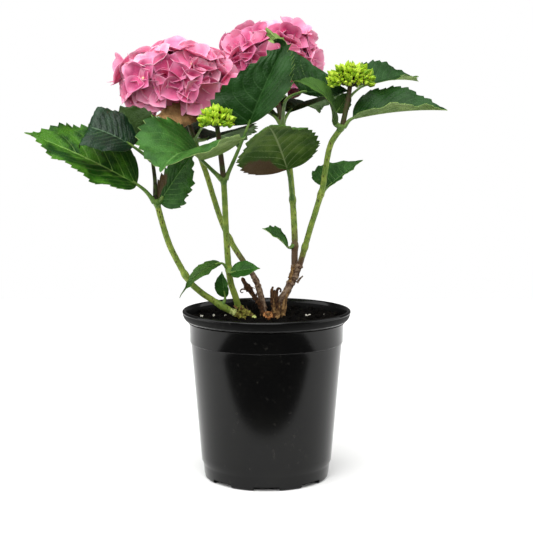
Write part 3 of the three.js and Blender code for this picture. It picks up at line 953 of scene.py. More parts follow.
class Stem(Enum):
    """The living stems: centre line, radii at foot and tip, heights of nodes, and the brown foot's end."""

    LEFT = (
        ((-37, -6, 169), (-54, -10, 180), (-66, -13, 189), (-77, -17, 201), (-90, -24, 226), (-96, -28, 241),
         (-101, -32, 259), (-105, -36, 276)),
        (3.2, 2.9), (174, 206), 158,
    )
    FRONT = (
        ((-28, -5, 172), (-31, -11, 184), (-35, -16, 197), (-37, -22, 213), (-39, -31, 246), (-40, -35, 276),
         (-41, -38, 298)),
        (3.3, 2.8), (212,), 158,
    )
    BACK = (
        ((-22, 11, 214), (-35, 15, 234), (-45, 18, 255), (-53, 20, 279), (-60, 21, 302), (-66, 21, 319),
         (-71, 19, 334)),
        (2.9, 2.7), (238,), 222,
    )
    MIDDLE = (
        ((28, 3, 214), (28, 5, 243), (26, 9, 278), (24, 14, 302), (21, 20, 327), (16, 26, 351)),
        (3.3, 2.7), (232, 278), 242,
    )
    RIGHT = (
        ((34, -2, 217), (38, -6, 232), (44, -10, 254), (48, -12, 267), (55, -15, 292), (57, -17, 307),
         (62, -21, 333), (71, -24, 348)),
        (2.9, 2.7), (232, 285), 226,
    )

    def __init__(
        self,
        points: tuple[Point, ...],
        radii: tuple[float, float],
        nodes: tuple[float, ...],
        woody_below: float,
    ) -> None:
        """Names the values of one stem.

        Args:
            points: What the centre line goes through.
            radii: Radius at the foot and at the tip.
            nodes: The heights of the swollen nodes.
            woody_below: The height below which the bark is brown.
        """
        self.points = points
        self.radii = radii
        self.nodes = nodes
        self.woody_below = woody_below

    def end(self) -> tuple[Array, Array]:
        """The middle of the tip and the direction in which the stem ends."""
        line = curve(self.points, 2)
        return line[-1], unit(line[-1] - line[-2])

    def at_height(self, height: float) -> tuple[Array, float]:
        """Finds a place on the stem.

        Args:
            height: The place's height.

        Returns:
            The centre line's point at that height, and the stem's radius there.
        """
        line = curve(self.points, 1)
        place = int(np.argmax(line[:, 2] >= height))
        return line[place], blend(self.radii, place / (len(line) - 1))


@dataclass
class Stems:
    """The living stems, with their swollen nodes, ridges and corky dots."""

    sides: int = 20
    step: float = 1.4
    swell: float = 0.75
    length: float = 3.2  # half the length of a node's swelling
    pinch: float = 0.35  # depth of the ring where the next length of stem starts, above each node
    pinch_above: float = 4.5
    pinch_length: float = 0.8
    ridge: float = 0.09
    ridges: int = 6
    roughness: float = 0.14

    def build(self) -> None:
        """Makes one piece for each stem."""
        for stem in Stem:
            line = curve(stem.points, self.step)
            radius = blend(stem.radii, np.linspace(0, 1, len(line)))
            for height in stem.nodes:
                above = line[:, 2] - height
                radius = radius + self.swell * hump(above, self.length)
                radius = radius - self.pinch * hump(above - self.pinch_above, self.pinch_length)
            relief = bark_relief(line[:, 2] * 0.6, 3, self.sides, [len(line)] * 3, 3)
            ridges = self.ridge * np.cos(self.ridges * circle(self.sides))[None, :]
            shell = Shell()
            tube(shell, line, radius[:, None] + self.roughness * relief + ridges)
            # Young hydrangea bark: smooth green skin with raised corky dots, brown and matte at the foot.
            name = stem.name.lower()
            skin = StemSkin(
                f"green_bark_{name}", "#8a9c42", "#688234", 9, 0.5, 1.2, 0.12, shine=0.3,
                woody_below=stem.woody_below,
            )
            finished(shell.build(f"stem_{name}_bark", [skin.make()]), "green_stem", f"stem_{name}")


# ---------------------------------------------------------------- crowns


class Bark(Enum):
    """The finishes of old wood, in the order that crowns take them: two tones, and their patches' size."""

    OLD = ("#4a3426", "#8a7560", 3.2)
    TAN = ("#94744a", "#50371f", 3.0)
    SHADED = ("#2a1b12", "#553a24", 2.4)
    SCAR = ("#b07c4c", "#7c4c28", 2.2)
    CUT = ("#c6cb84", "#8fa050", 2.0)
    RIBBED = ("#8a8a3c", "#57481f", 1.8)


@dataclass(frozen=True)
class OldLimb:
    """A crown's woody limb: its centre line, its radius at foot and tip, and rings that stand out."""

    points: tuple[Point, ...]
    radii: tuple[float, float]
    bark: Bark = Bark.OLD
    rings: tuple[float, ...] = ()  # share of the length at which each ring stands
    round_tip: bool = False


@dataclass(frozen=True)
class Flap:
    """A strip of loose bark along a line, with the side it faces and its width where it is rooted."""

    points: tuple[Point, ...]
    facing: Point
    width: float
    bark: Bark = Bark.OLD


@dataclass
class Crown:
    """A woody crown: limbs in ragged bark, with strips that peel off them."""

    node: str
    limbs: tuple[OldLimb, ...]
    flaps: tuple[Flap, ...]
    strips: int
    seed: int
    sides: int = 24
    step: float = 0.9
    furrow: float = 0.6
    knot: float = 0.45
    ring: float = 0.9  # height of a ring
    ring_length: float = 1.1
    flap_thickness: float = 0.28
    hollow: float = 0.25  # how deep a flap is hollowed, as a share of its half width

    def build(self, finishes: Sequence[Material]) -> None:
        """Makes the crown's piece.

        Args:
            finishes: One material for each kind of bark.
        """
        shell = Shell()
        dice = Dice(self.seed)
        kinds = list(Bark)
        for limb in self.limbs:
            line = curve(limb.points, self.step)
            share = np.linspace(0, 1, len(line))
            radius = blend(limb.radii, share)
            for ring in limb.rings:
                radius = radius + self.ring * hump((share - ring) * len(line) * self.step, self.ring_length)
            if limb.round_tip:
                radius = radius * np.sqrt(np.clip(1.02 - np.clip(2 * share - 1, 0, 1) ** 2.5, 0, 1))
            relief = bark_relief(np.arange(len(line)) * 0.4, 4, self.sides, [*limb.points[0][:2], 0], 4)
            knots = self.knot * rough(line + 40, 5)[:, None]
            scale = min(1.0, radius.max() / 3)
            radii = radius[:, None] + scale * (self.furrow * relief + knots)
            tube(shell, line, radii, kinds.index(limb.bark))
        for flap in self.flaps:
            line = curve(flap.points, 0.6)
            narrow = 1 - 0.65 * np.linspace(0, 1, len(line)) ** 1.5
            ragged = 1 + 0.3 * rough(line * 3, 2.5)
            widths = flap.width * narrow * ragged
            self.ribbon(shell, line, np.array(flap.facing, float), widths, kinds.index(flap.bark))
        for _ in range(self.strips):
            self.strip(shell, dice)
        finished(shell.build(f"{self.node}_bark", finishes, 40), "bark", self.node)

    def ribbon(self, shell: Shell, line: Array, facing: Array, widths: Array, finish: int) -> None:
        """Adds a thin strip along a line, hollowed across its width.

        Args:
            shell: The mesh to add it to.
            line: Its centre line, one point in each row.
            facing: The direction its hollow side looks in.
            widths: Its half width at each point of the line.
            finish: Which finish it takes.
        """
        along = unit(np.gradient(line, axis=0))
        side = unit(np.cross(along, facing))
        normal = np.cross(side, along)
        across = np.linspace(-1, 1, 5)
        flat = line[:, None] + side[:, None] * (widths[:, None] * across)[..., None]
        flat = flat + normal[:, None] * (widths[:, None] * self.hollow * across**2)[..., None]
        half = normal[:, None] * (self.flap_thickness / 2)
        places = np.stack(np.meshgrid(np.arange(len(line)), across, indexing="ij"), axis=-1)
        sheet(shell, flat + half, flat - half, places, finish, finish)

    def strip(self, shell: Shell, dice: Dice) -> None:
        """Adds one curled strip of loose bark to a limb.

        Args:
            shell: The mesh to add it to.
            dice: Where the strip's place and size come from.
        """
        limb = self.limbs[int(dice.between(0, len(self.limbs) - 0.01))]
        if limb.bark in (Bark.SCAR, Bark.CUT):
            return
        line = curve(limb.points, 1)
        place = int(dice.between(0.1, 0.85) * len(line))
        along = unit(line[min(place + 2, len(line) - 1)] - line[max(place - 2, 0)])
        if dice.between(0, 1) < 0.35:
            along = -along
        outward = unit(np.cross(along, dice.direction()))
        length, curl = dice.between(3.5, 9), dice.between(0.5, 2.8)
        t = np.linspace(0, 1, 10)[:, None]
        peel = blend(limb.radii, place / len(line)) + 0.3 + dice.between(0.6, 2.0) * (1 - np.cos(curl * t))
        path = line[place] + along * length * 0.6 * t + outward * peel
        finish = int(dice.between(0, 2.99))
        self.ribbon(shell, path, outward, dice.between(0.7, 1.5) * (1 - 0.7 * t[:, 0]), finish)


CROWNS = (
    Crown("crown", (
        OldLimb(((14, 1, 150), (16, 1, 162), (17, 1, 172), (17.5, 1, 182)), (3.4, 2.6), Bark.TAN),
        OldLimb(((6, 3, 156), (10, 3, 168), (15, 2, 178), (21, 2, 188), (25.5, 2.5, 198)), (4.6, 3.6),
                rings=(0.93,)),
        OldLimb(((24, 2, 194), (27, 2.5, 204), (28, 3, 214)), (3.6, 3.3), Bark.TAN, rings=(0.5,)),
        OldLimb(((25, 2, 194), (30, 0, 206), (34, -2, 217)), (3.4, 2.9), rings=(0.35, 0.8)),
        OldLimb(((-1, 2, 150), (-3, 5, 170), (-6, 8, 182), (-9, 9, 193), (-14, 10, 203),
                 (-22, 11, 214)), (3.4, 2.7), rings=(0.28, 0.62)),
        OldLimb(((-2, 3, 160), (-6, 2, 172), (-13, 1, 183), (-19, 0, 191)), (2.8, 2.0), Bark.SHADED,
                rings=(0.5,)),
        OldLimb(((-17, 0.5, 188), (-20, 0, 193), (-22.5, 0, 197), (-24.5, 0, 201)), (3.2, 1.6),
                Bark.SHADED, rings=(0.3,), round_tip=True),
        OldLimb(((6, -1, 152), (8, -2, 166), (8.5, -3, 178), (8, -3, 189)), (4.0, 3.0), Bark.SHADED,
                round_tip=True),
        OldLimb(((10, -4, 156), (11.5, -5, 166), (11.5, -5.4, 177)), (2.8, 1.8), Bark.TAN),
        OldLimb(((2, 2, 154), (1.6, -3, 160), (1.5, -6.4, 164.4)), (5.6, 4.9), Bark.SCAR),
        OldLimb(((1.5, -5.6, 164.2), (1.4, -8.6, 165.0)), (2.6, 1.7), Bark.TAN),
        OldLimb(((17, 1, 156), (6, 2, 159), (-4, 3, 157)), (5.6, 5.0), Bark.SHADED),
    ), (
        Flap(((8, -6, 172), (6, -6.5, 182), (5.4, -6, 188), (6.5, -5, 192.5)), (-0.5, -1, 0), 3.0,
             Bark.SHADED),
        Flap(((10.5, -7, 170), (10.5, -7.5, 180), (10.5, -7, 187), (11.5, -6.5, 190.5),
              (13.6, -6, 190.4), (14.4, -6, 188.2), (13.2, -6, 187)), (-0.6, -1, 0.2), 2.2,
             Bark.SHADED),
        Flap(((7, -6, 166), (7.6, -7, 176), (8, -6.6, 185)), (0.3, -1, 0), 1.5, Bark.TAN),
        Flap(((-16.5, -1.5, 186.5), (-20, -2.5, 189), (-24, -3, 189.6), (-26, -3.4, 187.8),
              (-24.6, -3.6, 186), (-23, -3.6, 187)), (0, -1, 0.4), 1.0, Bark.SHADED),
        Flap(((-18, -1, 194), (-15.5, -2, 191), (-13.5, -2.4, 190.5)), (0.5, -1, 0.5), 1.2,
             Bark.SHADED),
        Flap(((30, -2, 196), (33, -2.5, 200), (36.2, -2.5, 203)), (0.4, -1, -0.5), 1.6),
        Flap(((23, -1, 200), (25, -2, 207), (26, -1.5, 212)), (-0.2, -1, 0), 1.8, Bark.TAN),
        Flap(((16, -3.5, 168), (18, -3.2, 178), (22, -2.4, 188)), (0.1, -1, 0), 1.3, Bark.TAN),
    ), strips=60, seed=3),
    Crown("crown_left", (
        OldLimb(((-14, -2, 156), (-20, -3, 159.5), (-26, -4, 162.8), (-32, -5, 166.5)), (3.2, 2.9),
                Bark.RIBBED, rings=(0.15, 0.4, 0.65, 0.88)),
        OldLimb(((-31, -5, 166), (-35, -5.5, 168), (-38.5, -6.1, 170)), (2.8, 3.1), Bark.CUT,
                rings=(0.1,)),
        OldLimb(((-14, -3, 162), (-21, -4.5, 167), (-28, -5, 172.6)), (2.7, 2.9), Bark.RIBBED,
                rings=(0.3, 0.8)),
        OldLimb(((-14, -4, 161), (-12.8, -7.5, 162), (-12.4, -10, 162.6)), (2.6, 2.2), Bark.RIBBED),
        OldLimb(((-12.4, -9.7, 162.5), (-12.3, -10.3, 162.7)), (1.9, 1.8), Bark.CUT),
    ), (
        Flap(((-25, -8.4, 170), (-25.6, -9, 172.6), (-25, -9.4, 174.6)), (0.4, -1, 0), 1.2, Bark.TAN),
        Flap(((-29, -8.6, 171), (-31, -9.2, 173), (-32.4, -9, 174)), (-0.3, -1, 0), 1.2, Bark.TAN),
        Flap(((-24, -7.6, 165), (-21, -8.4, 166.6), (-19, -8.2, 168.6)), (0.2, -1, 0.3), 1.0,
             Bark.RIBBED),
    ), strips=8, seed=9),
)


# ---------------------------------------------------------------- masses of leaves


@dataclass(frozen=True)
class Mass:
    """The leaves of one node of a stem, with the twig above it if it has one."""

    node: str
    stem: Stem
    leaves: tuple[Leaf, ...]
    height: float | None = None  # the node's height, or none for the one at the stem's tip
    twig: tuple[Point, ...] = ()
    twig_radii: tuple[float, float] = (2.2, 1.7)
    petiole_radius: float = 0.95
    petiole_gain: float = 0.009  # how much more radius it has for each mm of the leaf's width
    swelling: float = 0.9  # at a petiole's foot

    def build(self, blades: LeafFinishes, stalks: Sequence[Material]) -> None:
        """Makes one piece for each blade and one for all the stalks.

        Args:
            blades: The materials of the blades.
            stalks: The materials of the petioles and of the twig.
        """
        shell = Shell()
        if self.height is None:
            end, along = self.stem.end()
            middle, radius = end + along * 2.8, self.stem.radii[1] + 0.8
            line = curve([end - along * 3, end, end + along * 3, end + along * 6], 0.8)
            share = np.linspace(-1, 1, len(line))
            tube(shell, line, self.stem.radii[1] + hump(share * 1.5, 1) - 0.1)
        else:
            middle, radius = self.stem.at_height(self.height)
        if self.twig:
            line = curve([middle, *self.twig], 1.6)
            tube(shell, line, np.linspace(*self.twig_radii, len(line)), 1)
        for number, leaf in enumerate(self.leaves):
            foot = (np.array(self.twig[-1], float), self.twig_radii[1]) if leaf.on_twig else (middle, radius)
            self.petiole(shell, *foot, leaf)
            blade = Shell()
            Blade(leaf).add_to(blade)
            finished(blade.build(f"{self.node}_blade_{number + 1}", blades.of(leaf)), "leaf", self.node)
        finished(shell.build(f"{self.node}_stalks", stalks), "leaf", self.node)

    def petiole(self, shell: Shell, middle: Array, radius: float, leaf: Leaf) -> None:
        """Adds the stalk of one leaf, swollen at its foot.

        Args:
            shell: The mesh to add it to.
            middle: The middle of the node that it grows from.
            radius: The node's radius.
            leaf: The leaf that it carries.
        """
        base = np.array(leaf.base, float)
        start = Blade(leaf).start()
        foot = middle + unit((base - middle) * LEVEL) * radius * 0.5
        reach = np.linalg.norm(base - foot)
        control = base - start * reach * 0.4
        bend = foot * 0.25 + control * 0.5 + base * 0.25
        line = curve([foot, bend, base, base + start * 5], 1.2)
        share = np.linspace(0, 1, len(line))
        width = self.petiole_radius + self.petiole_gain * leaf.width
        tube(shell, line, width * (1.25 - 0.55 * share) + self.swelling * hump(share * reach, 4))


MASSES = (
    Mass("leaves_left", Stem.LEFT, (
        Leaf((-124, -40, 296), (-228, -56, 346), 98, 6, 12, -29, tone=Tone.FRESH, wave=2.0, lobe=0,
             left=0.96, teeth=1.2),
        Leaf((-102, -37, 280), (-70, -20, 326), 50, 8, 8, 40, wave=3.0, left=0.55, shear=-0.35,
             teeth=1.3, scorch=Scorch(0.2, 0.14, 0.2)),
        Leaf((-128, -54, 334), (-176, -60, 353), 60, 18, 6, -42, on_twig=True, tone=Tone.GLOSSY,
             quilt=2.6, hook=-70, tail=0.03, taper=0.42, teeth=0.6, lobe=5, shear=-0.2),
        Leaf((-120, -38, 338), (-140, -34, 371), 46, 12, 8, -80, on_twig=True, tone=Tone.SHADED,
             wave=2.4),
        Leaf((-116, -14, 332), (-164, 54, 336), 60, 20, 14, 0, on_twig=True),
    ), twig=((-107, -37, 285), (-107, -38, 300), (-109, -40, 319))),
    Mass("leaves_front", Stem.FRONT, (
        Leaf((-63, -47, 321), (-95, -125, 312), 96, 30, 24, -6, skew=-2, raised=34, left=1.2, lobe=4,
             wave=2.2, taper=0.75),
        Leaf((-17, -42, 353), (27, -38, 447), 84, 10, 30, 62, left=0.96, right=0.84, shear=0.6,
             tone=Tone.DARK, hook=72, hook_aim=-66, flip=150, tail=0.27, tail_width=0.13, taper=1.2,
             lobe=0),
    )),
    Mass("leaves_back", Stem.BACK, (
        Leaf((-88, 38, 342), (-126, 122, 340), 80, 22, 14, 0, tone=Tone.SHADED),
        Leaf((-60, 36, 338), (-30, 124, 326), 76, 22, 14, 0, tone=Tone.SHADED),
        Leaf((-68, -22, 362), (-106, -44, 361), 24, 8, 12, -66, tone=Tone.DRIED, wave=3.4),
    )),
    Mass("leaves_middle", Stem.MIDDLE, (
        Leaf((34, -16, 384), (81, -4, 385), 86, 4, 4, 74, tone=Tone.DARK, quilt=2.2, shear=0.78,
             lobe=0, wave=2.0, right=0.12, teeth=0.8),
        Leaf((8, 30, 360), (-24, 46, 372), 46, 12, 10, 10, tone=Tone.SHADED),
        Leaf((24, 48, 366), (58, 142, 364), 84, 22, 14, 0, tone=Tone.SHADED),
    )),
    Mass("leaves_right", Stem.RIGHT, (
        Leaf((64, -33, 356), (25, -60, 394), 34, 44, 14, -43, tone=Tone.OLIVE, teeth=0.3, wave=0.6),
        Leaf((86, -25, 360), (174, -27, 367), 68, 8, 30, 15, tone=Tone.DARK, right=0.78, teeth=0.6),
        Leaf((94, 4, 390), (154, 44, 396), 58, 14, 24, 18, tone=Tone.DARK),
        Leaf((69, -4, 365), (82, -4, 385), 17, 8, 10, 88, tone=Tone.OLIVE),
    )),
    Mass("leaf_middle", Stem.MIDDLE, (
        Leaf((20, -12, 311), (1, -106, 352), 86, 25, -2, 14, 24, tone=Tone.OLIVE, lobe=2, skew=6,
             left=0.88, scorch=Scorch(0.08, 0.93, 0.24)),
    ), 278),
    Mass("leaf_middle_low", Stem.MIDDLE, (Leaf((21, -4, 232), (-4, -20, 252), 28, 10, 18, -35),), 232),
    Mass("leaf_right_low", Stem.RIGHT, (
        Leaf((61, -4, 292), (95, -2, 318), 42, 6, 16, 36, shear=0.6, left=1.2, right=0.2, lobe=4),
    ), 285),
    Mass("leaves_front_low", Stem.FRONT, (
        Leaf((-46, -31, 219), (-84, -47, 187), 15, 34, 18, -34, tone=Tone.OLIVE, tail=0.3, teeth=0.4),
        Leaf((-34, -32, 210), (-6, -40, 215), 20, 10, 12, 46, teeth=0.4),
    ), 212),
    Mass("leaf_left_low", Stem.LEFT, (
        Leaf((-41, -10, 184), (-44, -14, 209), 18, 10, 10, -163, right=0.6, lobe=6, teeth=0.5),
    ), 174),
)


# ---------------------------------------------------------------- flower heads


@dataclass(frozen=True)
class Head:
    """A flower head: the stem it ends, its centre, its half sizes and what its unevenness starts from."""

    node: str
    stem: Stem
    centre: Point
    size: Point
    seed: int
    stray: tuple[float, float] = (0.06, 0.08)  # how far places stray downwards and round, in radians
    taper: float = 0.8  # the peduncle's radius at its top, as a share of that at its foot

    def spread(self, count: int, lowest: float, levels: Sequence[float]) -> list[tuple[Array, Array, float]]:
        """Places on the head's dome from its top down, each turned from the last by the golden angle.

        Args:
            count: How many places.
            lowest: Degrees from the top to the lowest one.
            levels: Heights above the dome, dealt out in turn.

        Returns:
            Each place, the direction it faces, and a turn in degrees.
        """
        dice = Dice(self.seed)
        top = 1 - math.cos(math.radians(lowest))
        size = np.array(self.size)
        found = []
        for k in range(count):
            polar = math.acos(1 - top * (k + 0.5) / count) + dice.between(-self.stray[0], self.stray[0])
            turn = k * GOLDEN_ANGLE + dice.between(-self.stray[1], self.stray[1])
            level = math.sin(polar)
            out = np.array([level * math.cos(turn), level * math.sin(turn), math.cos(polar)])
            facing = unit(out / size)
            place = np.array(self.centre) + out * size + facing * levels[k % len(levels)]
            found.append((place, facing, dice.between(0, 360)))
        return found

    def stalk(self, shell: Shell, finish: int = 0) -> None:
        """Adds the peduncle from the stem's last node to the middle of the head.

        Args:
            shell: The mesh to add it to.
            finish: Which finish it takes.
        """
        end, along = self.stem.end()
        foot = end + along * 4
        centre = np.array(self.centre, float)
        line = curve([foot, (foot + centre) / 2 + along * 2, centre], 1.6)
        radius = self.stem.radii[1]
        tube(shell, line, np.linspace(radius, radius * self.taper, len(line)), finish)


@dataclass
class Mophead:
    """An open head of flowers with four broad sepals each."""

    head: Head
    count: int = 38
    inner: int = 22
    lowest: float = 126
    reach: float = 23  # centre of a flower to the tip of a sepal
    breadth: float = 12.6  # half a sepal's width
    fullness: float = 0.62  # how full a sepal is at its base
    thickness: float = 0.35
    overlap: float = 0.7  # how far two of a flower's sepals lie over the other two
    rows: int = 9
    columns: int = 9
    bead: float = 1.5  # radius of the round bud in the middle of a flower
    bead_level: float = 1.4
    levels: tuple[float, ...] = (-9, -5, -1.5)  # heights of the outer flowers above the dome
    inner_level: float = -13
    cup: tuple[float, float] = (8, 50)  # least and most that a flower's sepals rise, in degrees
    sizes: tuple[float, float] = (0.88, 1.08)
    stray: tuple[float, float] = (7, 9)  # of a sepal's turn and rise from its flower's, in degrees
    sepal_sizes: tuple[float, float] = (0.93, 1.07)
    stalk_radii: tuple[float, float] = (1.0, 0.7)

    def build(self, pinks: Sequence[Material], inside: Sequence[Material]) -> None:
        """Makes the sepals' piece and the one of stalks and beads.

        Args:
            pinks: The materials dealt out to the flowers.
            inside: The materials of the flowers' stalks, of the beads and of the head's own stalk.
        """
        petals, middle = Shell(), Shell()
        dice = Dice(self.head.seed + 100)
        outer = self.head.spread(self.count, self.lowest, self.levels)
        deeper = self.head.spread(self.inner, self.lowest - 10, (self.inner_level,))
        centre = np.array(self.head.centre, float)
        for number, (place, facing, spin) in enumerate([*outer, *deeper]):
            # The lower and the inner flowers are oftener deep pink, as painted shade, and the top ones
            # oftener pale, as painted light; beyond that the pink is picked at random.
            pick = dice.between(0, 1) + 0.45 * number / self.count
            finish = 2 if pick > 0.95 else int(pick < 0.3)
            self.floret(petals, place, facing, spin, dice, finish)
            across = np.linspace(-1, 1, 7)
            middle_of_bead = place + facing * self.bead_level
            line = middle_of_bead + facing * np.linspace(-self.bead, self.bead, len(across))[:, None]
            tube(middle, line, self.bead * np.sqrt(np.maximum(1 - across**2, 0.01)), 1)
            line = curve([centre + (place - centre) * 0.35, (place + centre) / 2, place], 6)
            tube(middle, line, np.linspace(*self.stalk_radii, len(line)))
        self.head.stalk(middle, 2)
        finished(petals.build(f"{self.head.node}_sepals", pinks), "pink_petal", self.head.node)
        finished(middle.build(f"{self.head.node}_stalks", inside), "pink_petal", self.head.node)

    def floret(
        self, shell: Shell, place: Array, facing: Array, spin: float, dice: Dice, finish: int
    ) -> None:
        """Adds one flower's four sepals.

        Args:
            shell: The mesh to add them to.
            place: The flower's middle.
            facing: The direction it faces.
            spin: Its turn about that direction.
            dice: Where its unevenness comes from.
            finish: Which pink it takes.
        """
        start = unit(np.cross(facing, dice.direction()))
        cup = dice.between(*self.cup)
        scale = dice.between(*self.sizes)
        twist, rise = self.stray
        for k in range(4):
            out = turned(start, facing, spin + 90 * k + dice.between(-twist, twist))
            tilt = cup + dice.between(-rise, rise)
            size = scale * dice.between(*self.sepal_sizes)
            points = self.sepal(place, facing, out, tilt, size, k % 2, dice)
            normal = np.cross(np.gradient(points, axis=0), np.gradient(points, axis=1))
            normal = normal / np.maximum(np.linalg.norm(normal, axis=-1, keepdims=True), 1e-9)
            half = normal * self.thickness / 2
            u, v = np.meshgrid(np.linspace(0, 1, self.rows), np.linspace(0, 1, self.columns), indexing="ij")
            sheet(shell, points + half, points - half, np.stack([u, v], axis=-1), finish, finish)

    def sepal(
        self, place: Array, facing: Array, out: Array, tilt: float, scale: float, over: int, dice: Dice
    ) -> Array:
        """One sepal: a broad blade with a blunt point, cupped, and rolled back at its margin.

        Args:
            place: The flower's middle.
            facing: The direction the flower faces.
            out: The direction the sepal points in, square to facing.
            tilt: How far it rises from the flower's plane, in degrees.
            scale: Its size against the usual one.
            over: 1 for the pair that lies over the other two.
            dice: Where its unevenness comes from.

        Returns:
            Its points by row and column.
        """
        u = np.linspace(0.0, 1.0, self.rows)[:, None]
        v = np.linspace(-1.0, 1.0, self.columns)[None, :]
        full, point = self.fullness, dice.between(0.75, 1.1)
        peak = full / (full + point)
        shape = np.maximum(u**full * (1 - u) ** point, 0.012) / (peak**full * (1 - peak) ** point)
        half = self.breadth * scale * np.broadcast_to(shape, (self.rows, self.columns))
        back = dice.between(-0.5, 0.9)
        wave, phase = dice.between(0.3, 1.1), dice.between(0, 6)
        hollow = dice.between(0.08, 0.42)
        length = self.reach * scale * u
        turn = math.radians(tilt) * (1.15 - back * u)
        radial = length * np.cos(turn) + 0 * v
        cupped = hollow * half * v**2 * (1 + u)
        lift = length * np.sin(turn) + cupped + wave * np.sin(7 * u + 2 * v + phase) * u * v**2
        lift = lift + over * self.overlap
        across = half * v * (1 - 0.08 * v**2)
        side = np.cross(facing, out)
        return place + out * radial[..., None] + side * across[..., None] + facing * lift[..., None]


@dataclass
class BudHead:
    """A head still in bud: many small four-cornered buds on dark branched stalks."""

    head: Head
    count: int
    radius: float = 1.7
    length: float = 1.9  # half a bud's length against its radius
    rib: float = 0.28  # height of a bud's four ribs against its radius
    lowest: float = 108
    levels: tuple[float, ...] = (-3.0, -1.0, 0.8, 2.4)  # heights of the buds above the dome
    sizes: tuple[float, float] = (0.75, 1.25)
    stalk_radii: tuple[float, float] = (0.9, 0.6)

    def build(self, finishes: Sequence[Material]) -> None:
        """Makes the head's two pieces.

        Args:
            finishes: The greens dealt out to the buds, and last the stalks' material.
        """
        shell, stalks = Shell(), Shell()
        dice = Dice(self.head.seed)
        greens = len(finishes) - 1
        centre = np.array(self.head.centre, float)
        for place, facing, _ in self.head.spread(self.count, self.lowest, self.levels):
            finish = int(dice.between(0, greens - 0.01))
            lean = unit(facing + 0.3 * UP + 0.5 * dice.direction())
            self.bud(shell, place, lean, self.radius * dice.between(*self.sizes), finish, dice)
            line = curve([centre - 6 * UP, centre * 0.45 + place * 0.55, place], 4)
            tube(stalks, line, np.linspace(*self.stalk_radii, len(line)))
        self.head.stalk(stalks)
        finished(shell.build(f"{self.head.node}_buds", finishes[:-1]), "green_bud", self.head.node)
        finished(stalks.build(f"{self.head.node}_stalks", finishes[-1:]), "green_bud", self.head.node)

    def bud(self, shell: Shell, place: Array, facing: Array, radius: float, finish: int, dice: Dice) -> None:
        """Adds one closed bud with four ribs.

        Args:
            shell: The mesh to add it to.
            place: The bud's middle.
            facing: The direction it points in.
            radius: Its radius.
            finish: Which green it takes.
            dice: Where its turn comes from.
        """
        share = np.linspace(-1, 1, 9)
        line = place + facing * (share * radius * self.length)[:, None]
        ribs = 1 + self.rib * np.cos(4 * circle(12) + dice.between(0, 3))
        belly = np.where(share < -0.2, np.sqrt(np.maximum(1 - share**2, 0.02)), ((1 - share) / 1.2) ** 0.75)
        tube(shell, line, radius * np.maximum(belly, 0.05)[:, None] * ribs[None, :], finish)


# ---------------------------------------------------------------- pot and soil


